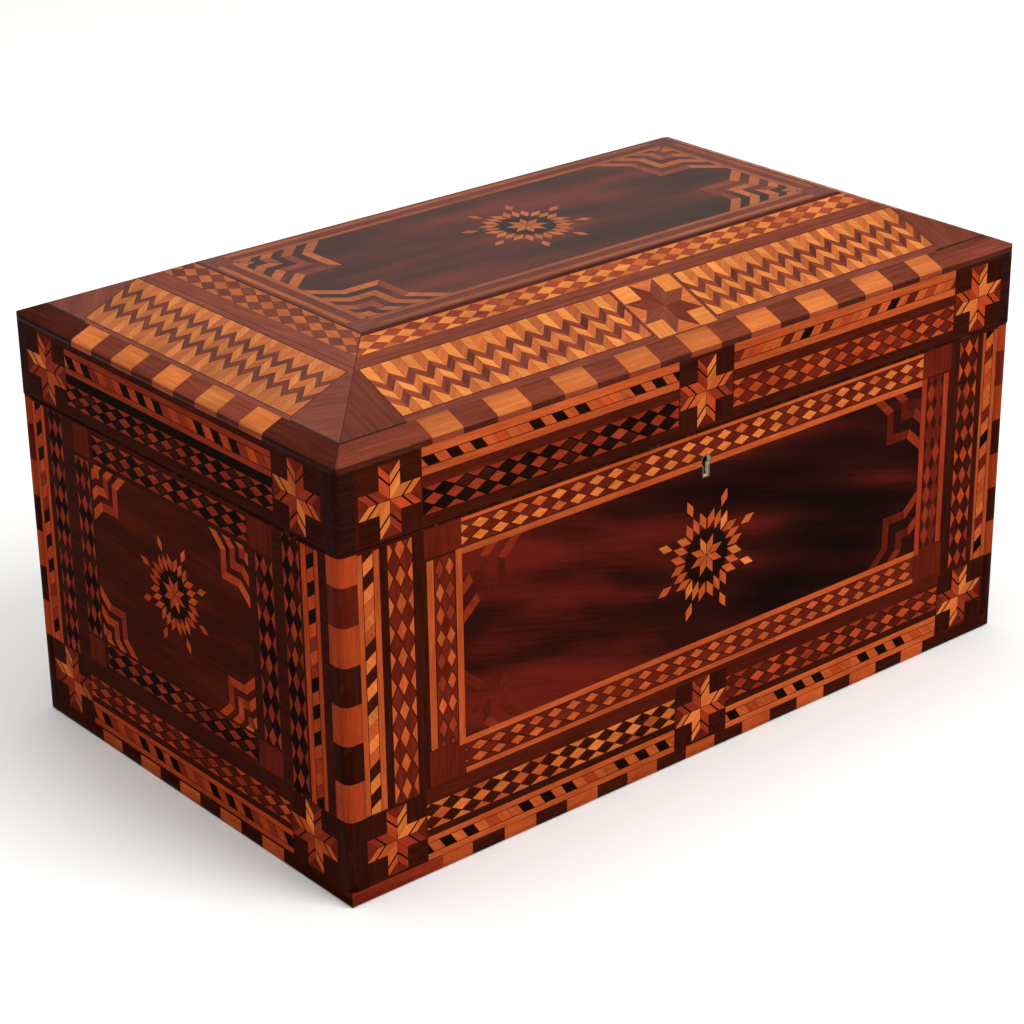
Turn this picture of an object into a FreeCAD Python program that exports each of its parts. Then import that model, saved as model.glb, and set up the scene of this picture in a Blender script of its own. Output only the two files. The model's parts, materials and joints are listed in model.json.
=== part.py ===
import FreeCAD, Part
import math
import os
from types import SimpleNamespace

import Sketcher

# Wind up music box: a parquetry casket with a hipped lid and a lever wound cylinder movement.
# Millimetres. Origin at the middle of the underside, +X to the right, front at -Y, +Z up.

V = FreeCAD.Vector
doc = FreeCAD.newDocument("MusicBox")
sheet = doc.addObject("Spreadsheet::Sheet", "Sizes")

SIZES = [
    # Outside of the casket, read from the photo.
    ("case_width", "322"),
    ("case_depth", "192"),
    ("rim", "129"),
    ("lid_arris", "160"),
    ("lid_top", "180"),
    ("lid_inset", "48"),
    ("slope_length", "=sqrt(lid_inset * lid_inset + (lid_top - lid_arris) * (lid_top - lid_arris))"),
    ("slope_sin", "=(lid_top - lid_arris) / slope_length"),
    ("slope_cos", "=lid_inset / slope_length"),
    ("slope_tan", "=(lid_top - lid_arris) / lid_inset"),
    # Thicknesses of the woodwork.
    ("veneer", "1"),
    ("board", "10"),
    ("base_board", "8"),
    ("banding", "7"),
    ("banding_round", "3.2"),
    ("lid_banding_round", "2.4"),
    ("plinth", "5.2"),
    ("edge_drop", "2.5"),
    ("edge_run", "8.2"),
    ("edge_thick", "3"),
    ("edge_round", "1.8"),
    ("slope_seat", "154"),
    # Inner fittings of the casket.
    ("partition_face", "99"),
    ("partition", "6"),
    ("partition_top", "112"),
    ("glass_bottom", "105"),
    ("glass", "3"),
    ("bead", "5"),
    # Lock and keyhole.
    ("lock_half", "22"),
    ("lock_bottom", "103"),
    ("lock_depth", "7.5"),
    ("lock_wall", "1.2"),
    ("selvedge", "1.6"),
    ("key_height", "116.8"),
    ("key_round", "2.1"),
    ("key_slot", "1.25"),
    ("key_bottom", "111.1"),
    ("liner_wall", "0.5"),
    # Hinges.
    ("hinge_x", "95"),
    ("hinge_half", "18"),
    ("hinge_third", "6"),
    ("hinge_axis", "=case_depth / 2 + 2.8"),
    ("knuckle", "2.6"),
    ("hinge_pin", "1.2"),
    ("leaf", "1.2"),
    ("leaf_reach", "13"),
    # Movement bed.
    ("bearer_top", "30"),
    ("bed_top", "36"),
    ("bed_left", "-98"),
    ("bed_right", "95"),
    ("bed_front", "-64"),
    ("bed_back", "80"),
    ("foot", "4"),
    # Cylinder, comb and barrel.
    ("cylinder_y", "8"),
    ("axis_z", "70"),
    ("cylinder_left", "-40"),
    ("cylinder_right", "66"),
    ("cylinder_radius", "24"),
    ("cylinder_arbor", "3"),
    ("barrel_y", "48"),
    ("barrel_radius", "27"),
    ("barrel_left", "-88"),
    ("barrel_right", "-58"),
    ("arbor", "4"),
    ("comb_height", "66"),
    ("comb_thick", "1.8"),
    ("comb_heel", "-58"),
    ("comb_root", "-40"),
    ("comb_tip", "-17"),
    ("comb_pitch", "2"),
    ("comb_slit", "0.5"),
    # Gears: numbers of teeth and modules.
    ("great_teeth", "60"),
    ("pinion_teeth", "20"),
    ("great_module", "1"),
    ("drive_teeth", "72"),
    ("first_pinion_teeth", "16"),
    ("drive_module", "0.7"),
    ("first_teeth", "40"),
    ("second_pinion_teeth", "16"),
    ("first_module", "0.5"),
    ("worm_wheel_teeth", "20"),
    ("worm_module", "0.7"),
    ("worm_pitch_radius", "2.8"),
    # Governor train: angle of each line of centres, then the places of the arbors.
    ("first_angle", "-12"),
    ("second_angle", "40"),
    ("first_reach", "=drive_module * (drive_teeth + first_pinion_teeth) / 2"),
    ("second_reach", "=first_module * (first_teeth + second_pinion_teeth) / 2"),
    ("first_y", "=cylinder_y + first_reach * cos(first_angle * 1 deg)"),
    ("first_z", "=axis_z + first_reach * sin(first_angle * 1 deg)"),
    ("second_y", "=first_y + second_reach * cos(second_angle * 1 deg)"),
    ("second_z", "=first_z + second_reach * sin(second_angle * 1 deg)"),
    ("worm_x", "83.25"),
    ("worm_y", "=second_y + worm_module * worm_wheel_teeth / 2 + worm_pitch_radius"),
    # Winding lever, ratchet and click.
    ("ratchet_teeth", "24"),
    ("ratchet_tip", "14"),
    ("ratchet_root", "11.5"),
    ("ratchet_left", "-110.4"),
    ("ratchet_right", "-107.6"),
    ("lever_left", "-114.6"),
    ("lever_right", "-111.4"),
    ("lever_angle", "75"),
    ("lever_reach", "64"),
    ("click_lift", "10.5"),
    # Stop lever.
    ("stop_x", "90"),
    ("stop_y", "22"),
    ("stop_z", "94"),
    # Fits.
    ("seat_gap", "0.02"),
    ("running_gap", "0.05"),
    ("screw_gap", "0.05"),
]

for row, (name, text) in enumerate(SIZES, start=1):
    sheet.set(f"A{row}", name)
    sheet.set(f"B{row}", text)
    sheet.setAlias(f"B{row}", name)
doc.recompute()


class Dim:
    """A length taken from the sheet: its value now, and the expression that stays bound to it."""

    def __init__(self, value, text):
        self.value = float(value)
        self.text = text

    def __add__(self, other):
        other = dim(other)
        return Dim(self.value + other.value, f"({self.text} + {other.text})")

    def __sub__(self, other):
        other = dim(other)
        return Dim(self.value - other.value, f"({self.text} - {other.text})")

    def __mul__(self, other):
        other = dim(other)
        return Dim(self.value * other.value, f"({self.text} * {other.text})")

    def __truediv__(self, other):
        other = dim(other)
        return Dim(self.value / other.value, f"({self.text} / {other.text})")

    def __neg__(self):
        return Dim(-self.value, f"(0 - {self.text})")

    def __radd__(self, other):
        return dim(other) + self

    def __rsub__(self, other):
        return dim(other) - self

    def __rmul__(self, other):
        return dim(other) * self

    def __float__(self):
        return self.value


def dim(value):
    """Give a plain number the same form as a length from the sheet."""
    if isinstance(value, Dim):
        return value
    number = float(value)
    return Dim(number, f"{number}" if number >= 0 else f"(0 - {-number})")


s = SimpleNamespace(**{name: Dim(sheet.get(name), f"Sizes.{name}") for name, text in SIZES})


# Small builders that bind every size and place to the sheet.

TURN = {
    "x": FreeCAD.Rotation(V(0, 1, 0), 90),
    "y": FreeCAD.Rotation(V(1, 0, 0), -90),
    "z": FreeCAD.Rotation(),
}


def bind(thing, prop, value):
    thing.setExpression(prop, dim(value).text)


def block(label, x, y, z):
    """A box between two places on each axis."""
    box = doc.addObject("Part::Box", label)
    box.Label = label
    for prop, axis, (low, high) in (("Length", "x", x), ("Width", "y", y), ("Height", "z", z)):
        bind(box, prop, dim(high) - dim(low))
        bind(box, "Placement.Base." + axis, low)
    return box


def rod(label, axis, centre, ends, radius):
    """A cylinder along an axis; centre gives its other two coordinates in x, y, z order."""
    bar = doc.addObject("Part::Cylinder", label)
    bar.Label = label
    bar.Placement = FreeCAD.Placement(V(), TURN[axis])
    bind(bar, "Radius", radius)
    bind(bar, "Height", dim(ends[1]) - dim(ends[0]))
    bind(bar, "Placement.Base." + axis, ends[0])
    for other, place in zip([a for a in "xyz" if a != axis], centre):
        bind(bar, "Placement.Base." + other, place)
    return bar


def fuse(label, *parts):
    joined = doc.addObject("Part::MultiFuse", label)
    joined.Label = label
    joined.Shapes = list(parts)
    joined.Refine = True
    return joined


def cut(label, base, *tools):
    result = doc.addObject("Part::Cut", label)
    result.Label = label
    result.Base = base
    result.Tool = tools[0] if len(tools) == 1 else fuse(label + "_tools", *tools)
    return result


def common(label, base, tool):
    result = doc.addObject("Part::Common", label)
    result.Label = label
    result.Base = base
    result.Tool = tool
    return result


def group(label, *parts):
    bundle = doc.addObject("Part::Compound", label)
    bundle.Label = label
    bundle.Links = list(parts)
    return bundle


def mirror(label, source, axis):
    other = doc.addObject("Part::Mirroring", label)
    other.Label = label
    other.Source = source
    other.Normal = V(1, 0, 0) if axis == "x" else V(0, 1, 0)
    return other


def origin_plane(body, role):
    return next(item for item in body.Origin.OriginFeatures if item.Role == role)


def outline(body, plane, points, offset):
    """A closed outline on an origin plane, every corner held by two dimensions from the sheet."""
    sketch = body.newObject("Sketcher::SketchObject", body.Name + "_outline")
    sketch.AttachmentSupport = (origin_plane(body, plane), [""])
    sketch.MapMode = "FlatFace"
    bind(sketch, "AttachmentOffset.Base.z", offset)
    corners = [V(float(u), float(v), 0) for u, v in points]
    count = len(corners)
    for index in range(count):
        sketch.addGeometry(Part.LineSegment(corners[index], corners[(index + 1) % count]))
    for index in range(count):
        sketch.addConstraint(Sketcher.Constraint("Coincident", index, 2, (index + 1) % count, 1))
    for index, (u, v) in enumerate(points):
        for kind, place in (("DistanceX", u), ("DistanceY", v)):
            held = sketch.addConstraint(Sketcher.Constraint(kind, -1, 1, index, 1, float(place)))
            sketch.setExpression(f"Constraints[{held}]", dim(place).text)
    return sketch


def prism(label, plane, points, ends):
    """A body padded from an outline: YZ runs along x, XZ along y, XY along z, between two places."""
    body = doc.addObject("PartDesign::Body", label)
    body.Label = label
    low, high = dim(ends[0]), dim(ends[1])
    offset = -high if plane == "XZ_Plane" else low
    sketch = outline(body, plane, points, offset)
    pad = body.newObject("PartDesign::Pad", label + "_pad")
    pad.Profile = sketch
    bind(pad, "Length", high - low)
    body.Tip = pad
    return body


def round_edges(body, near, radius):
    """Round the body's straight edges whose middle passes the test."""
    doc.recompute()
    base = body.Tip
    names = []
    for number, edge in enumerate(base.Shape.Edges, start=1):
        if near(edge.CenterOfMass):
            names.append(f"Edge{number}")
    fillet = body.newObject("PartDesign::Fillet", body.Name + "_round")
    fillet.Base = (base, names)
    bind(fillet, "Radius", radius)
    body.Tip = fillet
    return body


def solid(label, shape):
    """A piece whose curved outline is worked out here from the sheet's sizes."""
    piece = doc.addObject("Part::Feature", label)
    piece.Label = label
    piece.Shape = shape
    return piece


def polar(centre, radius, degrees):
    """A point round a centre in the y, z plane; 0 degrees points back and 90 up."""
    angle = math.radians(degrees)
    return (centre[0] + radius * math.cos(angle), centre[1] + radius * math.sin(angle))


def flat(points, ends):
    """A solid with an outline in the y, z plane between two places along x."""
    low, high = float(ends[0]), float(ends[1])
    wire = Part.makePolygon([V(low, y, z) for y, z in points + points[:1]])
    return Part.Face(wire).extrude(V(high - low, 0, 0))


def ring_bore(shape, centre, radius, ends):
    """Cut a round hole along x through a solid."""
    low, high = float(ends[0]) - 1, float(ends[1]) + 1
    start = V(low, float(centre[0]), float(centre[1]))
    return shape.cut(Part.makeCylinder(float(radius), high - low, start, V(1, 0, 0)))


def gear(centre, teeth, module, ends, tooth_at):
    """A toothed disc across x with one tooth centred on an angle; flanks straight, thin for free running."""
    centre = (float(centre[0]), float(centre[1]))
    count, size = int(float(teeth)), float(module)
    pitch_radius = size * count / 2
    step = 360 / count
    root, tip = pitch_radius - 1.0 * size, pitch_radius + 0.75 * size
    points = []
    for tooth in range(count):
        middle = tooth_at + tooth * step
        points.append(polar(centre, root, middle - 0.31 * step))
        points.append(polar(centre, tip, middle - 0.11 * step))
        points.append(polar(centre, tip, middle + 0.11 * step))
        points.append(polar(centre, root, middle + 0.31 * step))
    return flat(points, ends)


def gap_at(teeth, degrees):
    """The angle to give a gear so that a gap, not a tooth, faces the wanted direction."""
    return degrees + 180 / float(teeth)


# Places used again and again.
half_width = s.case_width / 2
half_depth = s.case_depth / 2
face = half_depth - s.veneer
inner_y = face - s.board
side_face = half_width - s.veneer
inner_x = side_face - s.board
stick_x = half_width - s.banding
stick_y = half_depth - s.banding
blend_z = s.lid_arris - s.edge_drop


# Screws: a slotted head and a plain shank, and the hole that lets one through.

def screw(label, place, head, shank, up=1):
    """A screw standing along z; head and shank are (radius, length) and up says which way it faces."""
    x, y, z = place
    top, low = dim(z) + up * dim(head[1]), dim(z) - up * dim(shank[1])
    head_ends = (z, top) if up > 0 else (top, z)
    shank_ends = (low, z) if up > 0 else (z, low)
    whole = fuse(label + "_blank", rod(label + "_head", "z", (x, y), head_ends, head[0]),
                 rod(label + "_shank", "z", (x, y), shank_ends, shank[0]))
    depth = dim(head[1]) * 0.45
    slot_z = (top - depth, top + 1) if up > 0 else (top - 1, top + depth)
    slot = block(label + "_slot", (dim(x) - head[0] - 1, dim(x) + head[0] + 1),
                 (dim(y) - 0.35, dim(y) + 0.35), slot_z)
    return cut(label, whole, slot)


def screw_holes(label, place, head, shank, up=1):
    """The room a sunk screw needs: its head and its shank with a little to spare."""
    x, y, z = place
    gap = s.screw_gap
    top, low = dim(z) + up * (dim(head[1]) + gap), dim(z) - up * (dim(shank[1]) + gap)
    head_ends = (z, top) if up > 0 else (top, z)
    shank_ends = (low, z) if up > 0 else (z, low)
    return fuse(label, rod(label + "_head", "z", (x, y), head_ends, gap + head[0]),
                rod(label + "_shank", "z", (x, y), shank_ends, gap + shank[0]))


# Keyhole shapes: the brass liner's outline and the hole through it.

def keyhole(label, ends, grow):
    barrel = rod(label + "_round", "y", (0, s.key_height), ends, s.key_round + grow)
    slot = block(label + "_slot", (-s.key_slot - grow, s.key_slot + grow), ends,
                 (s.key_bottom - grow, s.key_height))
    return fuse(label, barrel, slot)


lock_front = -inner_y - s.lock_depth
selvedge_low = s.rim - s.selvedge
liner_front = -half_depth
liner_hole = keyhole("keyhole_through", (liner_front - 1, lock_front + s.lock_wall + 0.5), 0)
liner_outer = keyhole("keyhole_liner_room", (liner_front, lock_front), s.liner_wall)
escutcheon = cut("escutcheon", keyhole("liner_blank", (liner_front, lock_front), s.liner_wall), liner_hole)

# Lock: a thin box let into the front board, its top plate, and the sliding bolt with two fingers.
lock_span = ((-s.lock_half, s.lock_half), (lock_front, -inner_y), (s.lock_bottom, selvedge_low))
lock_room = block("lock_room", *lock_span)
lock_hollow = block("lock_hollow", (-s.lock_half + s.lock_wall, s.lock_half - s.lock_wall),
                    (lock_front + s.lock_wall, -inner_y - s.lock_wall),
                    (s.lock_bottom + s.lock_wall, s.rim))
lock_shell = cut("lock_shell", block("lock_shell_blank", *lock_span), lock_hollow, liner_hole)
bolt_middle = (lock_front - inner_y) / 2
staple_x = (-10, 14)
staple_slots = [block(f"staple_slot_{i}", (x - 1.6, x + 1.6), (bolt_middle - 2.5, bolt_middle + 2.5),
                      (selvedge_low - 1, s.rim + 1)) for i, x in enumerate(staple_x)]
lock_screw_x = s.lock_half + 2.4
lock_head, lock_shank = (1.5, 0.8), (0.9, 7)
lock_places = [(side * lock_screw_x, bolt_middle, s.rim - 0.8) for side in (-1, 1)]
lock_holes = [screw_holes(f"lock_hole_{i}", p, lock_head, lock_shank) for i, p in enumerate(lock_places)]
lock_screws = [screw(f"lock_screw_{i}", p, lock_head, lock_shank) for i, p in enumerate(lock_places)]
selvedge_span = ((-s.lock_half - 5, s.lock_half + 5), (lock_front, -inner_y), (selvedge_low, s.rim))
lock_selvedge = cut("lock_selvedge", block("selvedge_plate", *selvedge_span), *staple_slots, *lock_holes)
selvedge_room = block("selvedge_room", *selvedge_span)

finger_y = (bolt_middle - 0.95, bolt_middle + 0.95)
finger_z = (119.6, 123.4)
bolt_bar = block("bolt_bar", (-18, 8.5), finger_y, (109.5, 114))
bolt_pieces = [bolt_bar]
for i, x in enumerate(staple_x):
    bolt_pieces.append(block(f"bolt_post_{i}", (x - 8, x - 5.5), finger_y, (113, 123.4)))
    bolt_pieces.append(block(f"bolt_finger_{i}", (x - 6, x - 1.5), finger_y, finger_z))
bolt_notch = block("bolt_notch", (-4.5, 2.5), (lock_front, -inner_y), (112, 115))
lock_bolt = cut("lock_bolt", fuse("bolt_blank", *bolt_pieces), bolt_notch)

link_span = ((-s.lock_half - 2, s.lock_half + 2), (lock_front, -inner_y), (s.rim, s.rim + s.selvedge))
link_pieces = [block("link_base", *link_span)]
link_eyes = []
for i, x in enumerate(staple_x):
    link_pieces.append(block(f"staple_{i}", (x - 1, x + 1), (bolt_middle - 2, bolt_middle + 2),
                             (117.5, s.rim + 0.5)))
    link_eyes.append(block(f"staple_eye_{i}", (x - 2, x + 2), (bolt_middle - 1.2, bolt_middle + 1.2),
                           (119.2, 124.2)))
link_places = [(side * (s.lock_half - 1.5), bolt_middle, s.rim + 0.8) for side in (-1, 1)]
link_holes = [screw_holes(f"link_hole_{i}", p, lock_head, lock_shank, -1) for i, p in enumerate(link_places)]
link_plate = cut("link_plate", fuse("link_blank", *link_pieces), *link_eyes, *link_holes)
link_plate_screws = [screw(f"link_screw_{i}", p, lock_head, lock_shank, -1)
                     for i, p in enumerate(link_places)]
link_room = block("link_room", *link_span)

# Hinges: a leaf let into each rim, knuckles on the axis behind the back, pins and sunk screws.
hinge_head, hinge_shank = (1.8, 0.7), (1, 8)
leaf_front = half_depth - s.leaf_reach
hinge_centres = [("left", -s.hinge_x), ("right", s.hinge_x)]
body_leaves, lid_leaves, pins = [], [], []
hinge_body_screws, hinge_lid_screws, body_holes, lid_holes = [], [], [], []
body_leaf_rooms, lid_leaf_rooms = [], []
for name, middle in hinge_centres:
    span = (middle - s.hinge_half, middle + s.hinge_half)
    leaf_y = (leaf_front, s.hinge_axis - s.knuckle - 0.3)
    own = (middle - s.hinge_third, middle + s.hinge_third)
    outer = [(span[0], own[0] - 0.2), (own[1] + 0.2, span[1])]
    body_parts = [block(name + "_leaf_low", span, leaf_y, (s.rim - s.leaf, s.rim))]
    for i, part in enumerate(outer):
        body_parts.append(block(f"{name}_tongue_low_{i}", part, (leaf_front, s.hinge_axis),
                                (s.rim - s.leaf, s.rim)))
        body_parts.append(rod(f"{name}_knuckle_low_{i}", "x", (s.hinge_axis, s.rim), part, s.knuckle))
    lid_parts = [block(name + "_leaf_high", span, leaf_y, (s.rim, s.rim + s.leaf)),
                 block(name + "_tongue_high", own, (leaf_front, s.hinge_axis), (s.rim, s.rim + s.leaf)),
                 rod(name + "_knuckle_high", "x", (s.hinge_axis, s.rim), own, s.knuckle)]
    tight = rod(name + "_pin_seat", "x", (s.hinge_axis, s.rim), (span[0] - 1, span[1] + 1),
                s.hinge_pin + s.seat_gap)
    loose = rod(name + "_pin_bore", "x", (s.hinge_axis, s.rim), (span[0] - 1, span[1] + 1),
                s.hinge_pin + s.running_gap)
    holes_low, holes_high = [], []
    for i, shift in enumerate((-12, 0, 12)):
        low_place = (middle + shift, leaf_front + 5, s.rim - 0.7)
        high_place = (middle + shift, leaf_front + 5, s.rim + 0.7)
        hinge_body_screws.append(screw(f"{name}_low_screw_{i}", low_place, hinge_head, hinge_shank))
        hinge_lid_screws.append(screw(f"{name}_high_screw_{i}", high_place, hinge_head, hinge_shank, -1))
        holes_low.append(screw_holes(f"{name}_low_hole_{i}", low_place, hinge_head, hinge_shank))
        holes_high.append(screw_holes(f"{name}_high_hole_{i}", high_place, hinge_head, hinge_shank, -1))
    body_holes += holes_low
    lid_holes += holes_high
    body_leaves.append(cut(name + "_body_leaf", fuse(name + "_low", *body_parts), tight, *holes_low))
    lid_leaves.append(cut(name + "_lid_leaf", fuse(name + "_high", *lid_parts), loose, *holes_high))
    pins.append(rod(name + "_pin", "x", (s.hinge_axis, s.rim), span, s.hinge_pin))
    body_leaf_rooms.append(block(name + "_room_low", span, (leaf_front, s.hinge_axis),
                                 (s.rim - s.leaf, s.rim + 1)))
    lid_leaf_rooms.append(block(name + "_room_high", span, (leaf_front, s.hinge_axis),
                                (s.rim - 1, s.rim + s.leaf)))
hinge_body_leaves = group("hinge_body_leaves", *body_leaves)
hinge_lid_leaves = group("hinge_lid_leaves", *lid_leaves)
hinge_pins = group("hinge_pins", *pins)

# Carcass: four boards notched for the corner bandings and the base banding, and the base board between them.
front_foot = block("front_foot", (-half_width, half_width), (-half_depth, -stick_y), (-1, s.plinth))
back_foot = block("back_foot", (-half_width, half_width), (stick_y, half_depth), (-1, s.plinth))
left_foot = block("left_foot", (-half_width, -stick_x), (-half_depth, half_depth), (-1, s.plinth))
right_foot = block("right_foot", (stick_x, half_width), (-half_depth, half_depth), (-1, s.plinth))


def notched_board(label, sign, z):
    """A front (sign -1) or back (sign 1) board, cut back at both ends for the corner sticks."""
    points = [(-stick_x, sign * face), (stick_x, sign * face), (stick_x, sign * stick_y),
              (side_face, sign * stick_y), (side_face, sign * inner_y), (-side_face, sign * inner_y),
              (-side_face, sign * stick_y), (-stick_x, sign * stick_y)]
    return prism(label, "XY_Plane", points, z)


front_board = cut("front_board", notched_board("front_blank", -1, (0, s.rim)),
                  lock_room, selvedge_room, liner_outer, front_foot, left_foot, right_foot, *lock_holes)
back_board = cut("back_board", notched_board("back_blank", 1, (0, s.rim)), back_foot, left_foot, right_foot,
                 *body_leaf_rooms, *body_holes)
left_board = cut("left_board", block("left_blank", (-side_face, -inner_x), (-inner_y, inner_y), (0, s.rim)),
                 left_foot)
right_board = cut("right_board", block("right_blank", (inner_x, side_face), (-inner_y, inner_y), (0, s.rim)),
                  right_foot)
base_board = block("base_board", (-inner_x, inner_x), (-inner_y, inner_y), (0, s.base_board))


def corner_sticks(label, z, radius):
    """Four upright sticks let into the corners, with the outer edge rounded."""
    stick = prism(label + "_stick", "XY_Plane",
                  [(-half_width, -half_depth), (-stick_x, -half_depth), (-stick_x, -stick_y),
                   (-half_width, -stick_y)], z)
    corner = V(-float(half_width), -float(half_depth), 0)
    round_edges(stick, lambda p: abs(p.x - corner.x) < 0.01 and abs(p.y - corner.y) < 0.01, radius)
    right = mirror(label + "_right", stick, "x")
    back = mirror(label + "_back", stick, "y")
    far = mirror(label + "_far", right, "y")
    return group(label, stick, right, back, far)


corner_bandings = corner_sticks("corner_bandings", (s.plinth, s.rim), s.banding_round)

# Base banding: four mitred lengths round the foot, sharp at the front left corner and rounded at the others.
foot_bound = prism("foot_bound", "XY_Plane",
                   [(-half_width, -half_depth), (half_width, -half_depth), (half_width, half_depth),
                    (-half_width, half_depth)], (0, s.plinth))
round_edges(foot_bound, lambda p: abs(abs(p.x) - float(half_width)) < 0.01
            and abs(abs(p.y) - float(half_depth)) < 0.01 and (p.x > 0 or p.y > 0), s.banding_round)
front_length = prism("front_length", "XY_Plane",
                     [(-half_width, -half_depth), (half_width, -half_depth), (stick_x, -stick_y),
                      (-stick_x, -stick_y)], (0, s.plinth))
left_length = prism("left_length", "XY_Plane",
                    [(-half_width, -half_depth), (-stick_x, -stick_y), (-stick_x, stick_y),
                     (-half_width, half_depth)], (0, s.plinth))
base_lengths = [front_length, mirror("back_length", front_length, "y"), left_length,
                mirror("right_length", left_length, "x")]
base_banding = group("base_banding", *[common(length.Label + "_bound", length, foot_bound)
                                       for length in base_lengths])


def side_veneer(label, sign, z):
    """A sheet on the left (sign -1) or right (sign 1) end, between the corner sticks."""
    span = (side_face, half_width) if sign > 0 else (-half_width, -side_face)
    return block(label, span, (-stick_y, stick_y), z)


def face_veneer(label, sign, z):
    """A sheet on the front (sign -1) or back (sign 1), between the corner sticks."""
    span = (face, half_depth) if sign > 0 else (-half_depth, -face)
    return block(label, (-stick_x, stick_x), span, z)


body_z = (s.plinth, s.rim)
front_veneer = cut("front_veneer", face_veneer("front_veneer_sheet", -1, body_z), liner_outer)
back_veneer = cut("back_veneer", face_veneer("back_veneer_sheet", 1, body_z), *body_leaf_rooms)
left_veneer = side_veneer("left_veneer", -1, body_z)
right_veneer = side_veneer("right_veneer", 1, body_z)

# Lid: side frame, four mitred slope boards, top board, veneers and the banding round the arris.
slope_low_z = s.lid_arris + s.lid_inset * s.slope_tan - (s.board / s.slope_cos)


def lid_frame_side(label, sign):
    board = notched_board(label + "_blank", sign, (s.rim, blend_z))
    low, high = (stick_y, inner_y) if sign > 0 else (-stick_y, -inner_y)
    rebate = block(label + "_rebate", (-half_width, half_width),
                   (high - 1, low) if sign > 0 else (low, high + 1), (s.slope_seat, blend_z + 1))
    if sign < 0:
        return cut(label, board, rebate, link_room, *link_holes)
    return cut(label, board, rebate, *lid_leaf_rooms, *lid_holes)


def lid_frame_end(label, sign):
    whole = block(label + "_blank", (-side_face, -inner_x) if sign < 0 else (inner_x, side_face),
                  (-inner_y, inner_y), (s.rim, blend_z))
    rebate = block(label + "_rebate", (-stick_x, -inner_x + 1) if sign < 0 else (inner_x - 1, stick_x),
                   (-half_depth, half_depth), (s.slope_seat, blend_z + 1))
    return cut(label, whole, rebate)


lid_front_side = lid_frame_side("lid_front_side", -1)
lid_back_side = lid_frame_side("lid_back_side", 1)
lid_end_sides = [lid_frame_end("lid_left_side", -1), lid_frame_end("lid_right_side", 1)]
lid_corner_bandings = corner_sticks("lid_corner_bandings", (s.rim, blend_z), s.lid_banding_round)

# Plan wedges that mitre everything on the lid at 45 degrees.
front_wedge = prism("front_wedge", "XY_Plane",
                    [(-half_width, -half_depth), (half_width, -half_depth), (half_width - half_depth, 0),
                     (half_depth - half_width, 0)], (s.rim, s.lid_top + 10))
left_wedge = prism("left_wedge", "XY_Plane",
                   [(-half_width, -half_depth), (half_depth - half_width, 0), (-half_width, half_depth)],
                   (s.rim, s.lid_top + 10))


# The lid's outline with its upright corners rounded, to finish the banding round the arris.
lid_bound = prism("lid_bound", "XY_Plane",
                  [(-half_width, -half_depth), (half_width, -half_depth), (half_width, half_depth),
                   (-half_width, half_depth)], (s.rim, s.lid_top + 10))
round_edges(lid_bound, lambda p: abs(abs(p.x) - float(half_width)) < 0.01
            and abs(abs(p.y) - float(half_depth)) < 0.01, s.lid_banding_round)


def mitred_ring(label, section, arris=None):
    """Four mitred lengths round the lid; section lists (inward, z), arris is a radius for the outer edge."""
    front = prism(label + "_front_length", "YZ_Plane", [(u - half_depth, z) for u, z in section],
                  (-half_width, half_width))
    left = prism(label + "_left_length", "XZ_Plane", [(u - half_width, z) for u, z in section],
                 (-half_depth, half_depth))
    if arris is not None:
        height = float(s.lid_arris)
        round_edges(front, lambda p: abs(p.x) < 0.01 and abs(p.y + float(half_depth)) < 0.01
                    and abs(p.z - height) < 0.01, arris)
        round_edges(left, lambda p: abs(p.y) < 0.01 and abs(p.x + float(half_width)) < 0.01
                    and abs(p.z - height) < 0.01, arris)
        front = common(label + "_front_bound", front, lid_bound)
        left = common(label + "_left_bound", left, lid_bound)
    front = common(label + "_front", front, front_wedge)
    left = common(label + "_left", left, left_wedge)
    return group(label, front, mirror(label + "_back", front, "y"), left, mirror(label + "_right", left, "x"))


def on_slope(inward, depth):
    """A point of the lid's section: how far in, and how deep square to the slope."""
    return (inward + depth * s.slope_sin, s.lid_arris + inward * s.slope_tan - depth * s.slope_cos)


upright = s.lid_top - s.veneer / s.slope_cos
lid_edge_banding = mitred_ring("lid_edge_banding",
                               [(dim(0), blend_z), (dim(0), s.lid_arris), on_slope(s.edge_run, 0),
                                on_slope(s.edge_run, s.edge_thick), (s.banding, blend_z)], s.edge_round)
lid_slope_veneers = mitred_ring("lid_slope_veneers",
                                [on_slope(s.edge_run, 0), (s.lid_inset, s.lid_top), (s.lid_inset, upright),
                                 on_slope(s.edge_run, s.veneer)])
lid_slope_boards = mitred_ring("lid_slope_boards",
                               [(s.banding, s.slope_seat), (s.banding, blend_z),
                                on_slope(s.edge_run, s.edge_thick), on_slope(s.edge_run, s.veneer),
                                (s.lid_inset, upright), (s.lid_inset, slope_low_z),
                                (s.veneer + s.board, s.slope_seat)])
top_x = half_width - s.lid_inset
top_y = half_depth - s.lid_inset
lid_top_board = block("lid_top_board", (-top_x, top_x), (-top_y, top_y), (slope_low_z, s.lid_top - s.veneer))
lid_top_veneer = block("lid_top_veneer", (-top_x, top_x), (-top_y, top_y), (s.lid_top - s.veneer, s.lid_top))
lid_z = (s.rim, blend_z)
lid_side_veneers = group("lid_side_veneers",
                         face_veneer("lid_front_sheet", -1, lid_z),
                         cut("lid_back_sheet", face_veneer("lid_back_blank", 1, lid_z), *lid_leaf_rooms),
                         side_veneer("lid_left_sheet", -1, lid_z),
                         side_veneer("lid_right_sheet", 1, lid_z))

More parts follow.
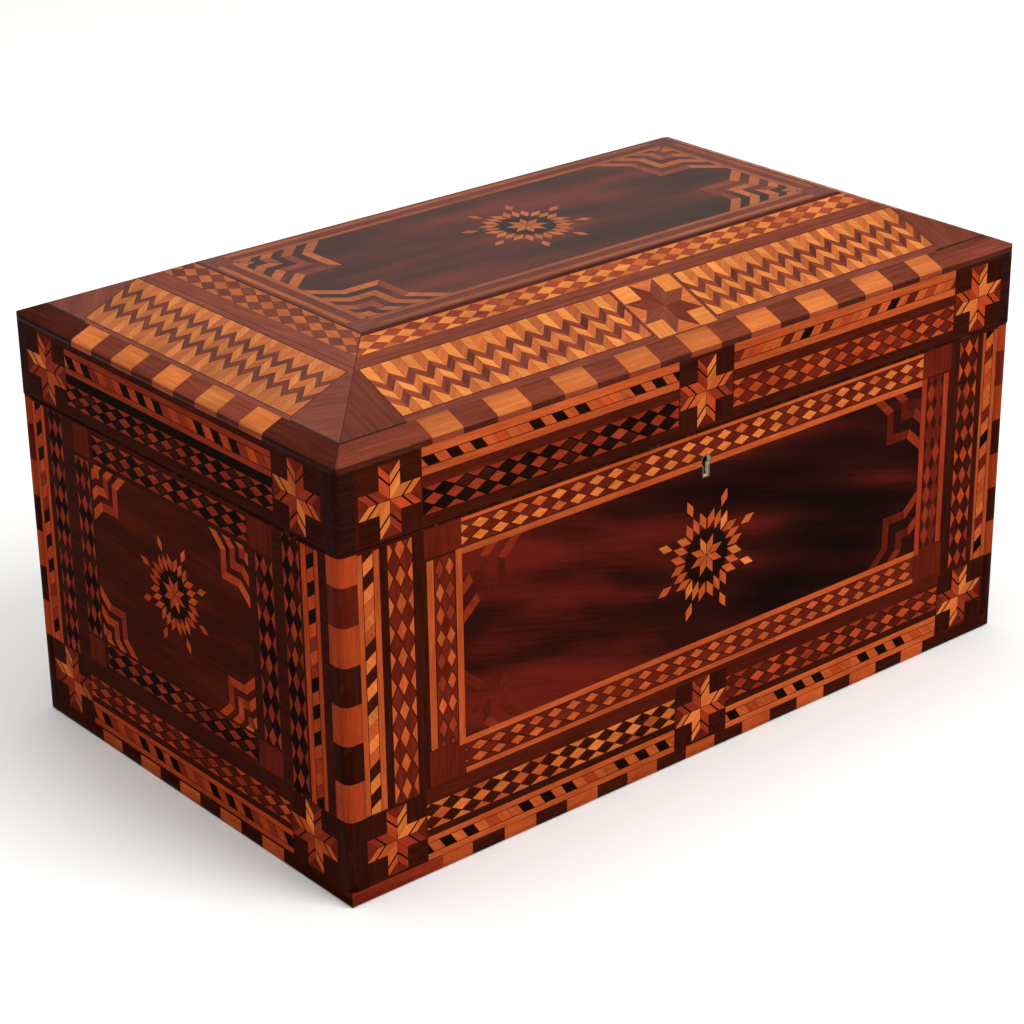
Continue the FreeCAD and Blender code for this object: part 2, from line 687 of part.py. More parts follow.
# Inner fittings: partitions, glass on its beads, and the bearers under the movement.
barrel_centre = (s.barrel_y, s.axis_z)
cylinder_centre = (s.cylinder_y, s.axis_z)
partition_far = s.partition_face + s.partition
left_partition = cut("left_partition",
                     block("left_partition_board", (-partition_far, -s.partition_face), (-inner_y, inner_y),
                           (s.base_board, s.partition_top)),
                     rod("arbor_way", "x", barrel_centre, (-partition_far - 1, 1 - s.partition_face), 8))
right_partition = cut("right_partition",
                      block("right_partition_board", (s.partition_face, partition_far), (-inner_y, inner_y),
                            (s.base_board, s.partition_top)),
                      block("stop_way", (s.partition_face - 1, partition_far + 1),
                            (s.stop_y - 6, s.stop_y + 14), (s.stop_z - 3, s.stop_z + 5)))
bead_z = (s.glass_bottom - s.bead, s.glass_bottom)
between = (-s.partition_face, s.partition_face)
glass_beads = group("glass_beads", block("front_bead", between, (-inner_y, s.bead - inner_y), bead_z),
                    block("back_bead", between, (inner_y - s.bead, inner_y), bead_z))
glass_pane = block("glass_pane", between, (-inner_y, inner_y), (s.glass_bottom, s.glass_bottom + s.glass))

# Movement screws: four into the bearers and a set that fixes every bridge, the comb and the governor.
bed_screw_places = [(x, y, s.bed_top) for x in (-88, 86) for y in (s.bed_front + 10, s.bed_back - 8)]
bed_head, bed_shank = (4, 2.6), (2, 16)
bed_holes = [screw_holes(f"bed_hole_{i}", p, bed_head, bed_shank) for i, p in enumerate(bed_screw_places)]
bedplate_screws = [screw(f"bed_screw_{i}", p, bed_head, bed_shank) for i, p in enumerate(bed_screw_places)]
foot_top = s.bed_top + s.foot
bridge_head, bridge_shank = (2.6, 1.8), (1.4, 8)
left_cylinder_x, right_cylinder_x = (-50, -46), (77, 81)
left_barrel_x, right_barrel_x = (-97, -93.5), (-51.5, -47.5)
foot_places = []
for x, y in ((left_cylinder_x, s.cylinder_y), (right_cylinder_x, s.cylinder_y),
             (left_barrel_x, s.barrel_y), (right_barrel_x, s.barrel_y)):
    for side in (-1, 1):
        foot_places.append(((x[0] + x[1]) / 2, y + side * 15, foot_top))
foot_places += [(70, 62, foot_top), (77, 38, foot_top)]
comb_places = [(x, s.comb_heel + 7, s.comb_height + s.comb_thick) for x in (-32, -14, 4, 22, 40, 58)]
fixing_places = foot_places + comb_places
fixing_holes = [screw_holes(f"fixing_hole_{i}", p, bridge_head, bridge_shank)
                for i, p in enumerate(fixing_places)]
fixing_screws = [screw(f"fixing_screw_{i}", p, bridge_head, bridge_shank)
                 for i, p in enumerate(fixing_places)]
foot_holes = fixing_holes[:len(foot_places)]
comb_holes = fixing_holes[len(foot_places):]

bearer_x, bearer_z = (s.bed_left, s.bed_right), (s.base_board, s.bearer_top)
front_bearer = block("front_bearer", bearer_x, (s.bed_front + 3, s.bed_front + 17), bearer_z)
back_bearer = block("back_bearer", bearer_x, (s.bed_back - 15, s.bed_back - 1), bearer_z)
movement_bearers = cut("movement_bearers", group("bearer_pair", front_bearer, back_bearer), *bed_holes)
bed_outline = [(s.bed_left, s.bed_front), (s.bed_right, s.bed_front), (s.bed_right, s.bed_back),
               (s.bed_left, s.bed_back)]
bedplate = cut("bedplate", prism("bed_slab", "XY_Plane", bed_outline, (s.bearer_top, s.bed_top)),
               *bed_holes, *foot_holes)

# Bridges: an upright with a rounded head over a screwed foot, bored for a turning arbor.


def bridge(label, x, centre, bore):
    y, z = centre
    upright_plate = block(label + "_upright", x, (y - 9, y + 9), (s.bed_top, z))
    head = rod(label + "_head", "x", centre, x, 9)
    base = block(label + "_foot", x, (y - 19, y + 19), (s.bed_top, foot_top))
    hole = rod(label + "_bore", "x", centre, (x[0] - 1, x[1] + 1), bore + s.running_gap)
    return cut(label, fuse(label + "_blank", upright_plate, head, base), hole, *foot_holes)


left_cylinder_bridge = bridge("left_cylinder_bridge", left_cylinder_x, cylinder_centre, s.cylinder_arbor)
right_cylinder_bridge = bridge("right_cylinder_bridge", right_cylinder_x, cylinder_centre, s.cylinder_arbor)
left_barrel_bridge = bridge("left_barrel_bridge", left_barrel_x, barrel_centre, s.arbor)
right_barrel_bridge = bridge("right_barrel_bridge", right_barrel_x, barrel_centre, s.arbor)

# Comb: a steel plate slit into teeth by a pattern of pockets, on a brass base.
comb_base = cut("comb_base", block("comb_base_bar", (s.cylinder_left + 2, s.cylinder_right),
                                   (s.comb_heel, s.comb_heel + 15), (s.bed_top, s.comb_height)), *comb_holes)
comb_body = prism("comb_plate", "XY_Plane",
                  [(s.cylinder_left + 2, s.comb_heel), (s.cylinder_right, s.comb_heel),
                   (s.cylinder_right, s.comb_tip), (s.cylinder_left + 2, s.comb_tip)],
                  (s.comb_height, s.comb_height + s.comb_thick))
slit_left = s.cylinder_left + 2 + s.comb_pitch - s.comb_slit / 2
slit = outline(comb_body, "XY_Plane",
               [(slit_left, s.comb_root), (slit_left + s.comb_slit, s.comb_root),
                (slit_left + s.comb_slit, s.comb_tip + 1), (slit_left, s.comb_tip + 1)],
               s.comb_height + s.comb_thick)
slit_pocket = comb_body.newObject("PartDesign::Pocket", "slit_pocket")
slit_pocket.Profile = slit
bind(slit_pocket, "Length", s.comb_thick + 0.2)
slits = comb_body.newObject("PartDesign::LinearPattern", "slits")
slits.Originals = [slit_pocket]
slits.Direction = (slit, ["H_Axis"])
tooth_count = round((float(s.cylinder_right) - float(s.cylinder_left) - 2) / float(s.comb_pitch))
slits.Occurrences = tooth_count - 1
bind(slits, "Length", s.comb_pitch * (tooth_count - 2))
comb_body.Tip = slits
comb = cut("comb", comb_body, *comb_holes)

# Cylinder: a hollow brass sleeve with end caps on a steel arbor, with its two gears.
arbor_seat = s.cylinder_arbor + s.seat_gap
sleeve = rod("sleeve", "x", cylinder_centre, (s.cylinder_left, s.cylinder_right), s.cylinder_radius)
sleeve_hollow = rod("sleeve_hollow", "x", cylinder_centre, (s.cylinder_left + 3, s.cylinder_right - 3),
                    s.cylinder_radius - 1.5)
sleeve_bore = rod("sleeve_bore", "x", cylinder_centre, (s.cylinder_left - 1, s.cylinder_right + 1),
                  arbor_seat)
cylinder = cut("cylinder", sleeve, sleeve_hollow, sleeve_bore)
cylinder_arbor = rod("cylinder_arbor", "x", cylinder_centre, (-61, 84), s.cylinder_arbor)
great_x = (-58, -53.5)
drive_x = (69, 72.5)
toward_barrel, toward_cylinder = 0, 180
cylinder_pinion = solid("cylinder_pinion", ring_bore(
    gear(cylinder_centre, s.pinion_teeth, s.great_module, great_x, gap_at(s.pinion_teeth, toward_barrel)),
    cylinder_centre, arbor_seat, great_x))
cylinder_gear = solid("cylinder_gear", ring_bore(
    gear(cylinder_centre, s.drive_teeth, s.drive_module, drive_x, float(s.first_angle)),
    cylinder_centre, arbor_seat, drive_x))

# Spring barrel: drum, cap, toothed great wheel and the coiled mainspring, free on the winding arbor.
arbor_run = s.arbor + s.running_gap
drum_wall = 2
drum_hollow = rod("drum_hollow", "x", barrel_centre, (s.barrel_left - 1, s.barrel_right - drum_wall),
                  s.barrel_radius - drum_wall)
drum_bore = rod("drum_bore", "x", barrel_centre, (s.barrel_left - 5, s.barrel_right + 1), arbor_run)
barrel_drum = cut("barrel_drum", rod("drum_blank", "x", barrel_centre, (s.barrel_left, s.barrel_right),
                                     s.barrel_radius), drum_hollow, drum_bore)
barrel_cap = cut("barrel_cap", rod("cap_blank", "x", barrel_centre, (s.barrel_left - 2, s.barrel_left),
                                   s.barrel_radius), drum_bore)
great_wheel = solid("great_wheel", ring_bore(
    gear(barrel_centre, s.great_teeth, s.great_module, great_x, toward_cylinder),
    barrel_centre, arbor_run, great_x))


def coiled_strip(centre, inner, outer, turns, thick, ends):
    """A flat strip wound in half circles from an inner to an outer radius."""
    step = (outer - inner) / (2 * turns)
    x = float(ends[0])

    def half_circles(start):
        edges, radius, y_mid, side = [], start, float(centre[0]), 1
        for _ in range(2 * turns):
            first = V(x, y_mid + side * radius, float(centre[1]))
            middle = V(x, y_mid, float(centre[1]) + side * radius)
            last = V(x, y_mid - side * radius, float(centre[1]))
            edges.append(Part.Arc(first, middle, last).toShape())
            y_mid += side * step
            radius += step
            side = -side
        return edges

    lower, upper = half_circles(inner), half_circles(inner + thick)
    start_line = Part.makeLine(lower[0].Vertexes[0].Point, upper[0].Vertexes[0].Point)
    end_line = Part.makeLine(lower[-1].Vertexes[-1].Point, upper[-1].Vertexes[-1].Point)
    wire = Part.Wire(Part.__sortEdges__(lower + upper + [start_line, end_line]))
    return Part.Face(wire).extrude(V(float(ends[1]) - x, 0, 0))


mainspring = solid("mainspring", coiled_strip(barrel_centre, 8, 22, 7, 0.9, (-86, -61.5)))

# Winding: arbor, ratchet and nut on it, the lever with its grip and pawl, and the click on its plate.
winding_arbor = rod("winding_arbor", "x", barrel_centre, (-119.5, -46.5), s.arbor)
arbor_fit = s.arbor + s.seat_gap
ratchet_x = (s.ratchet_left, s.ratchet_right)
centre_yz = (float(s.barrel_y), float(s.axis_z))
ratchet_step = 360 / float(s.ratchet_teeth)
pawl_tooth = float(s.lever_angle) + 35
ratchet_points = []
for tooth in range(int(float(s.ratchet_teeth))):
    steep = pawl_tooth + tooth * ratchet_step
    ratchet_points.append(polar(centre_yz, float(s.ratchet_root), steep))
    ratchet_points.append(polar(centre_yz, float(s.ratchet_tip), steep))
ratchet_shape = flat(ratchet_points, ratchet_x)
ratchet_wheel = solid("ratchet_wheel", ring_bore(ratchet_shape, centre_yz, arbor_fit, ratchet_x))
nut_x = (-118.5, -115.2)
nut_points = [polar(centre_yz, 7, 60 * corner) for corner in range(6)]
lever_nut = solid("lever_nut", ring_bore(flat(nut_points, nut_x), centre_yz, arbor_fit, nut_x))


def pawl_points(tooth_angle, nose):
    """A hooked finger lying in the notch before a steep face, back to its pivot."""
    shape = [*nose, (24.5, -32), (24, -39), (19.5, -38), (15.8, -15)]
    return [polar(centre_yz, radius, tooth_angle + turn) for radius, turn in shape]


def turned(points, pivot, degrees):
    angle = math.radians(degrees)
    spun = []
    for y, z in points:
        dy, dz = y - pivot[0], z - pivot[1]
        spun.append((pivot[0] + dy * math.cos(angle) - dz * math.sin(angle),
                     pivot[1] + dy * math.sin(angle) + dz * math.cos(angle)))
    return spun


finger_x = (float(s.ratchet_left), float(s.ratchet_right) - 0.2)
pawl_pivot = polar(centre_yz, 22, pawl_tooth - 35)
pawl_stud = Part.makeCylinder(1.8, 1.2, V(float(s.lever_right), pawl_pivot[0], pawl_pivot[1]), V(1, 0, 0))
pawl_nose = [(12.3, -1), (16.5, -1)]
pawl_shape = flat(pawl_points(pawl_tooth, pawl_nose), finger_x)
drive_pawl = solid("drive_pawl", pawl_shape.fuse(pawl_stud).removeSplitter())
click_tooth = pawl_tooth - 12 * ratchet_step
click_pivot = polar(centre_yz, 22, click_tooth - 35)
click_nose = [(12.7, -5), (16.5, -3.5)]
click_points = turned(pawl_points(click_tooth, click_nose), click_pivot, -float(s.click_lift))
click_shape = flat(click_points, finger_x)
click = solid("click", ring_bore(click_shape, click_pivot, 1.5 + float(s.running_gap), finger_x))
click_plate_x = (-partition_far - 1.6, -partition_far)
click_screw_places = [(40, 86), (58, 86), (58, 42)]
click_plate = cut("click_plate",
                  fuse("click_plate_blank", block("click_plate_sheet", click_plate_x, (32, 64), (38, 90)),
                       rod("click_stud", "x", click_pivot, (-111, -partition_far - 1), 1.5)),
                  rod("click_plate_way", "x", barrel_centre, (-108, -104), 8),
                  *[rod(f"click_plate_hole_{i}", "x", p, (-108, -104), 1.05)
                    for i, p in enumerate(click_screw_places)])
click_head_x = (click_plate_x[0] - 1, click_plate_x[0])
click_plate_screws = [
    fuse(f"click_screw_{i}", rod(f"click_screw_head_{i}", "x", p, click_head_x, 1.9),
         rod(f"click_screw_shank_{i}", "x", p, click_plate_x, 1))
    for i, p in enumerate(click_screw_places)]

lever_x = (s.lever_left, s.lever_right)
lever_lean = FreeCAD.Rotation(V(1, 0, 0), float(s.lever_angle) - 90)
lever_pivot = V(0, *centre_yz)
lever_length = float(s.lever_reach)
lever_points = [(-4.5, 0), (-3.2, lever_length - 22), (-1.8, lever_length - 21), (-1.8, lever_length - 4),
                (1.8, lever_length - 4), (1.8, lever_length - 21), (3.2, lever_length - 22), (4.5, 0)]
lever_points = [(centre_yz[0] + y, centre_yz[1] + z) for y, z in lever_points]
lever_hub = Part.makeCylinder(9, float(s.lever_right) - float(s.lever_left),
                              V(float(s.lever_left), *centre_yz), V(1, 0, 0))
lever_shape = flat(lever_points, lever_x).fuse(lever_hub).removeSplitter()
lever_shape = ring_bore(lever_shape, centre_yz, arbor_run, lever_x)
lever_shape.rotate(lever_pivot, V(1, 0, 0), float(s.lever_angle) - 90)
winding_lever = solid("winding_lever", lever_shape)

# Turned grip: a profile swung round the lever's arm, hollow where the tang sits.
grip_middle = (float(s.lever_left) + float(s.lever_right)) / 2
grip_low = centre_yz[1] + lever_length - 20.9
grip_profile = [(0, 0), (4.2, 0), (4.2, 2), (3.4, 3.5), (5.4, 9), (6.2, 15), (5.6, 20), (3.2, 23.5),
                (0, 24.5), (0, 0)]
grip_wire = Part.makePolygon([V(grip_middle + r, centre_yz[0], grip_low + h) for r, h in grip_profile])
grip_shape = Part.Face(grip_wire).revolve(V(grip_middle, centre_yz[0], 0), V(0, 0, 1), 360)
tang_room = Part.makeBox(float(s.lever_right) - float(s.lever_left) + 0.04, 3.64, 17,
                         V(float(s.lever_left) - 0.02, centre_yz[0] - 1.82, grip_low - 0.1))
grip_shape = grip_shape.cut(tang_room)
grip_shape.rotate(lever_pivot, V(1, 0, 0), float(s.lever_angle) - 90)
lever_grip = solid("lever_grip", grip_shape)

# Governor: frame, two arbors with wheels, the worm with its fly, and the top cock.
plate_a, plate_b = (64.5, 66.5), (87.5, 89.5)
frame_back = 66
first_centre = (s.first_y, s.first_z)
second_centre = (s.second_y, s.second_z)
small_arbor = 1.5
across_plates = (plate_a[0] - 1, plate_b[1] + 1)
arbor_bores = [rod(f"governor_bore_{i}", "x", centre, across_plates, small_arbor + s.running_gap)
               for i, centre in enumerate((first_centre, second_centre))]
worm_shaft = 1.2
worm_bore = rod("worm_bore", "z", (s.worm_x, s.worm_y), (s.bed_top - 1, 90), worm_shaft + s.running_gap)
cock_bottom = 84
frame_y = (34, frame_back)
governor_blank = fuse("governor_blank",
                      block("governor_foot", (plate_a[0], plate_b[1]), frame_y, (s.bed_top, foot_top)),
                      block("governor_plate_a", plate_a, (34, 56), (s.bed_top, 80)),
                      block("governor_plate_b", plate_b, frame_y, (s.bed_top, cock_bottom)))
governor_plates = cut("governor_plates", governor_blank, *arbor_bores, worm_bore, *foot_holes)
governor_cock = cut("governor_cock", block("cock_bar", (79, plate_b[1]), (s.worm_y - 6, s.worm_y + 6),
                                           (cock_bottom, cock_bottom + 3)), worm_bore)
arbor_ends = (plate_a[0] + 0.3, plate_b[1] - 0.3)
first_pinion_x, first_wheel_x = (68.5, 73), (76, 78)
second_pinion_x, worm_wheel_x = (75.5, 78.5), (s.worm_x - 1, s.worm_x + 1)
small_seat = small_arbor + s.seat_gap


def pinion_arbor(label, centre, teeth, module, ends, tooth_at):
    """A thin arbor with its pinion cut in one piece."""
    low, high = arbor_ends
    shaft = Part.makeCylinder(small_arbor, high - low, V(low, float(centre[0]), float(centre[1])), V(1, 0, 0))
    return solid(label, gear(centre, teeth, module, ends, tooth_at).fuse(shaft).removeSplitter())


first_angle, second_angle = float(s.first_angle), float(s.second_angle)
governor_first_arbor = pinion_arbor(
    "governor_first_arbor", first_centre, s.first_pinion_teeth, s.drive_module, first_pinion_x,
    gap_at(s.first_pinion_teeth, first_angle + 180))
governor_first_wheel = solid("governor_first_wheel", ring_bore(
    gear(first_centre, s.first_teeth, s.first_module, first_wheel_x, second_angle),
    first_centre, small_seat, first_wheel_x))
governor_second_arbor = pinion_arbor(
    "governor_second_arbor", second_centre, s.second_pinion_teeth, s.first_module, second_pinion_x,
    gap_at(s.second_pinion_teeth, second_angle + 180))
governor_worm_wheel = solid("governor_worm_wheel", ring_bore(
    gear(second_centre, s.worm_wheel_teeth, s.worm_module, worm_wheel_x, 0),
    second_centre, small_seat, worm_wheel_x))

# Worm: a right hand thread whose gap faces the wheel's level tooth.
worm_step = math.pi * float(s.worm_module)
thread_turns = 7
thread_low = float(s.second_z) - 0.25 * worm_step - (thread_turns // 2) * worm_step
core, crest = float(s.worm_pitch_radius) - 0.7, float(s.worm_pitch_radius) + 0.5
helix = Part.makeHelix(worm_step, thread_turns * worm_step, core)
sunk = core - 0.4
profile = Part.makePolygon([V(sunk, 0, -0.56), V(crest, 0, -0.2), V(crest, 0, 0.2), V(sunk, 0, 0.56),
                            V(sunk, 0, -0.56)])
thread = Part.Wire(helix).makePipeShell([profile], True, True)
thread.translate(V(0, 0, thread_low))
worm_low, worm_high = 37, 102
worm_shape = Part.makeCylinder(worm_shaft, worm_high - worm_low, V(0, 0, worm_low))
worm_shape = worm_shape.fuse(Part.makeCylinder(core, 21, V(0, 0, float(s.second_z) - 10.5))).fuse(thread)
worm_shape.translate(V(float(s.worm_x), float(s.worm_y), 0))
governor_worm = solid("governor_worm", worm_shape)
fly_z = (90, 101)
fly_place = (s.worm_x, s.worm_y)
fly_vanes = block("fly_vanes", (s.worm_x - 10, s.worm_x + 10), (s.worm_y - 0.3, s.worm_y + 0.3), fly_z)
governor_fly = cut("governor_fly", fuse("fly_blank", rod("fly_hub", "z", fly_place, fly_z, 2.6), fly_vanes),
                   rod("fly_bore", "z", fly_place, (fly_z[0] - 1, fly_z[1] + 1), worm_shaft + s.seat_gap))

# Stop lever: a post on the bed, the lever with its brake arm, and a turned knob in the right compartment.
stop_place = (s.stop_x, s.stop_y)
stop_post = fuse("stop_post", rod("stop_post_low", "z", stop_place, (s.bed_top, s.stop_z), 4),
                 rod("stop_post_high", "z", stop_place, (s.stop_z - 1, s.stop_z + 4), 2.5))
stop_z = (s.stop_z, s.stop_z + 2)
stop_lever = cut("stop_lever",
                 fuse("stop_blank", rod("stop_hub", "z", stop_place, stop_z, 5),
                      block("brake_arm", (s.stop_x - 1.5, s.stop_x + 1.5), (s.stop_y, s.stop_y + 27), stop_z),
                      block("stop_arm", (s.stop_x, s.stop_x + 40), (s.stop_y - 2.5, s.stop_y + 2.5), stop_z)),
                 rod("stop_bore", "z", stop_place, (s.stop_z - 1, s.stop_z + 3), 2.5 + s.running_gap))
knob_at = (s.stop_x + 36, s.stop_y)
stop_knob = fuse("stop_knob", rod("knob_neck", "z", knob_at, (s.stop_z + 2, s.stop_z + 6), 2.6),
                 rod("knob_head", "z", knob_at, (s.stop_z + 6, s.stop_z + 12), 5))

# Pieces of one kind that never move apart share a node.
lock_case = fuse("lock_case", lock_shell, lock_selvedge)
end_boards = group("end_boards", left_board, right_board)
body_veneers = group("body_veneers", front_veneer, back_veneer, left_veneer, right_veneer)
case_screws = group("case_screws", *hinge_body_screws, *lock_screws)
partitions = group("partitions", left_partition, right_partition)
lid_sides = group("lid_sides", lid_front_side, lid_back_side, *lid_end_sides)
lid_screws = group("lid_screws", *hinge_lid_screws, *link_plate_screws)
movement_screws = group("movement_screws", *bedplate_screws, *fixing_screws, *click_plate_screws)
cylinder_bridges = group("cylinder_bridges", left_cylinder_bridge, right_cylinder_bridge)
barrel_bridges = group("barrel_bridges", left_barrel_bridge, right_barrel_bridge)
governor_frame = group("governor_frame", governor_plates, governor_cock)

NODES = [
    front_board, back_board, end_boards, base_board, base_banding, corner_bandings, body_veneers, escutcheon,
    lock_case, lock_bolt, hinge_body_leaves, hinge_pins, case_screws,
    partitions, glass_beads, glass_pane, movement_bearers,
    lid_sides, lid_corner_bandings, lid_slope_boards, lid_top_board, lid_side_veneers,
    lid_slope_veneers, lid_top_veneer, lid_edge_banding, hinge_lid_leaves, lid_screws, link_plate,
    bedplate, movement_screws, comb_base, comb, cylinder_bridges, barrel_bridges,
    cylinder, cylinder_arbor, cylinder_pinion, cylinder_gear,
    barrel_drum, barrel_cap, great_wheel, mainspring,
    winding_arbor, ratchet_wheel, lever_nut, winding_lever, lever_grip, drive_pawl, click, click_plate,
    governor_frame, governor_first_arbor, governor_first_wheel, governor_second_arbor,
    governor_worm_wheel, governor_worm, governor_fly, stop_post, stop_lever, stop_knob,
]

doc.recompute()
for item in doc.Objects:
    if "Invalid" in item.State or "Error" in item.State:
        raise RuntimeError(f"{item.Label} did not compute: {item.State}")
os.makedirs("parts", exist_ok=True)
for node in NODES:
    if node.Shape.isNull() or not node.Shape.isValid():
        raise RuntimeError(f"{node.Label} has no valid shape")
    node.Shape.exportStep(f"parts/{node.Label}.step")
    print(node.Label, len(node.Shape.Solids), round(node.Shape.Volume, 1))
print(len(NODES), "nodes")
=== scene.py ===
import json
import math
import random
from collections import namedtuple

import bmesh
import bpy
from mathutils import Euler, Matrix, Vector
from mathutils.geometry import delaunay_2d_cdt


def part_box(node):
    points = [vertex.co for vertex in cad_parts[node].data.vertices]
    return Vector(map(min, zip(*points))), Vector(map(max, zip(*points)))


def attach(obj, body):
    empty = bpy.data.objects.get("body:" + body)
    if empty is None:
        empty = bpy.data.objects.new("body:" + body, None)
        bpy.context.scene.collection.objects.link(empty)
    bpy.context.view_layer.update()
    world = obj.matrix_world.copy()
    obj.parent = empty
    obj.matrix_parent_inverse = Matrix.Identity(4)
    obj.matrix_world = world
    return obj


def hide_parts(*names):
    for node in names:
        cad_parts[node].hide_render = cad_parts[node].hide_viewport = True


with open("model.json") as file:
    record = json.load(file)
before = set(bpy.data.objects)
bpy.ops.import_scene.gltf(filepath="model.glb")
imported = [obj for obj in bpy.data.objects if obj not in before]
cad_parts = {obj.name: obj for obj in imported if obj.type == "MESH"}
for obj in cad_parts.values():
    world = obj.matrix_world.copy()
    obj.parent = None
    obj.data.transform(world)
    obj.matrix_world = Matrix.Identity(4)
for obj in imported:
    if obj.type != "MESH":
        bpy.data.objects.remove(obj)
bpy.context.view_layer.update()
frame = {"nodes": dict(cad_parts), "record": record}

# Sizes of the casket in millimetres, read from the frame.
MM = 0.001
UP = Vector((0, 0, 1))


def box_mm(node):
    low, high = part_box(node)
    return [Vector([round(part / MM, 3) for part in corner]) for corner in (low, high)]


BASE_LOW, BASE_HIGH = box_mm("base_banding")
WIDTH = BASE_HIGH.x - BASE_LOW.x
DEPTH = BASE_HIGH.y - BASE_LOW.y
PLINTH = BASE_HIGH.z
RIM = box_mm("body_veneers")[1].z
LID_VENEER_TOP = box_mm("lid_side_veneers")[1].z
TOP_LOW, TOP_HIGH = box_mm("lid_top_veneer")
TOP = TOP_HIGH.z
TOP_WIDTH = TOP_HIGH.x - TOP_LOW.x
TOP_DEPTH = TOP_HIGH.y - TOP_LOW.y
VENEER = TOP_HIGH.z - TOP_LOW.z
INSET = (WIDTH - TOP_WIDTH) / 2
EDGE_TOP = box_mm("lid_edge_banding")[1].z
EDGE_RUN = WIDTH / 2 - box_mm("lid_slope_veneers")[1].x
SLOPE_TAN = (TOP - EDGE_TOP) / (INSET - EDGE_RUN)
SLOPE_COS = 1 / math.hypot(1, SLOPE_TAN)
SLOPE_SIN = SLOPE_TAN * SLOPE_COS
ARRIS = TOP - INSET * SLOPE_TAN
SLOPE_START = EDGE_RUN / SLOPE_COS
SLOPE_END = INSET / SLOPE_COS
LINER_LOW, LINER_HIGH = box_mm("escutcheon")

# Sizes that the boxes of the nodes do not show.
STICK = 7.0
STICK_ROUND = 3.2
EDGE_THICK = 3.0
EDGE_ROUND = 1.8
LID_CORNER_ROUND = 2.4
SHOULDER = 0.5
KEY_SLOT = 1.75
HINGE_MIDDLE = 95.0
HINGE_HALF = 18.0
LEAF = 1.2

dice = random.Random(7)


def either_way():
    """A chance number from -1 to 1."""
    return dice.random() * 2 - 1


# Materials.

def linear(red, green, blue):
    """A colour given as screen values from 0 to 255."""
    result = []
    for value in (red, green, blue):
        part = value / 255
        result.append(part / 12.92 if part <= 0.04045 else ((part + 0.055) / 1.055) ** 2.4)
    return (*result, 1.0)


class Look:
    """A material while its nodes are put together."""

    def __init__(self, name):
        self.material = bpy.data.materials.new(name)
        self.material.use_nodes = True
        self.nodes = self.material.node_tree.nodes
        self.links = self.material.node_tree.links
        self.shader = self.nodes["Principled BSDF"]

    def fill(self, node, values, sources):
        """Put plain values on some sockets of a node and link sources to others."""
        for socket, value in (values or {}).items():
            node.inputs[socket].default_value = value
        for socket, source in (sources or {}).items():
            self.links.new(source, node.inputs[socket])

    def add(self, kind, values=None, sources=None, **settings):
        node = self.nodes.new(f"ShaderNode{kind}")
        for name, setting in settings.items():
            setattr(node, name, setting)
        self.fill(node, values, sources)
        return node

    def finish(self, values, sources=None):
        """The material, once the shader's own sockets are filled."""
        self.fill(self.shader, values, sources)
        return self.material

    def place(self):
        """Where a point lies on its object, in metres."""
        return self.add("TexCoord").outputs["Object"]

    def face_value(self, name):
        """A number that each face carries."""
        return self.add("Attribute", attribute_name=name).outputs["Fac"]

    def noise(self, along, across, detail, source=None):
        """Noise drawn out along the grain: how often it changes per unit of the source, and its detail."""
        sources = {"Vector": self.place() if source is None else source}
        stretched = self.add("Mapping", {"Scale": (along, across, across)}, sources)
        values = {"Scale": 1.0, "Detail": detail, "Roughness": 0.6}
        return self.add("TexNoise", values, {"Vector": stretched.outputs["Vector"]}).outputs["Fac"]

    def multiply_add(self, value, factor, addend):
        """value * factor + addend, where the addend is a socket or a number."""
        values, sources = {1: factor}, {0: value}
        (values if isinstance(addend, float) else sources)[2] = addend
        return self.add("Math", values, sources, operation="MULTIPLY_ADD").outputs["Value"]

    def rescaled(self, value, low, high):
        """How far a value is from low to high."""
        return self.add("MapRange", {"From Min": low, "From Max": high}, {"Value": value}).outputs["Result"]

    def ramp(self, source, stops):
        node = self.add("ValToRGB", sources={"Fac": source})
        bar = node.color_ramp
        while len(bar.elements) < len(stops):
            bar.elements.new(0.5)
        for element, (place, colour) in zip(bar.elements, stops):
            element.position = place
            element.color = colour
        return node.outputs["Color"]


# Noises of the woods, by changes along and across the grain in a centimetre, and detail.
FIBRES = (0.5, 7.0, 4.0)
PORES = (2.2, 30.0, 2.0)
PORE_WEIGHT = 0.4
FIGURE_DETAIL = 2.0
# A figure: its changes along and across, and its weight.
PLAIN_FIGURE = (0.12, 0.5, 0.6)
FIGURES = {"figure": (0.07, 0.33, 7.0), "stripe": (0.1, 0.6, 1.5)}
# Noises of the surfaces, by changes in a metre.
PATINA = (24.0, 24.0, 5.0)
PATINA_WEIGHT, TINT_WEIGHT = 0.6, 0.42
RUBBED = (300.0, 300.0, 4.0)
TARNISH = (40.0, 90.0, 4.0)
CLOUDS = (60.0, 60.0, 5.0)


def tile_tint(look, colour):
    """Make each tile lighter or darker by its own tint, and the polish uneven over all of them."""
    uneven = look.multiply_add(look.noise(*PATINA), PATINA_WEIGHT, 1.0 - PATINA_WEIGHT / 2)
    level = look.multiply_add(look.face_value("tint"), TINT_WEIGHT, uneven)
    return look.add("HueSaturation", {}, {"Value": level, "Color": colour}).outputs["Color"]


def edge_wear(look, colour):
    """Pale rubbed spots on the faces that are marked as worn edges."""
    spots = look.ramp(look.noise(*RUBBED), [(0.54, (0, 0, 0, 1)), (0.72, (0.5, 0.5, 0.5, 1))])
    worn = look.add("Math", {}, {0: spots, 1: look.face_value("wear")}, operation="MULTIPLY")
    sources = {"Factor": worn.outputs["Value"], "A": colour}
    return look.add("Mix", {"B": linear(150, 94, 66)}, sources, data_type="RGBA").outputs["Result"]


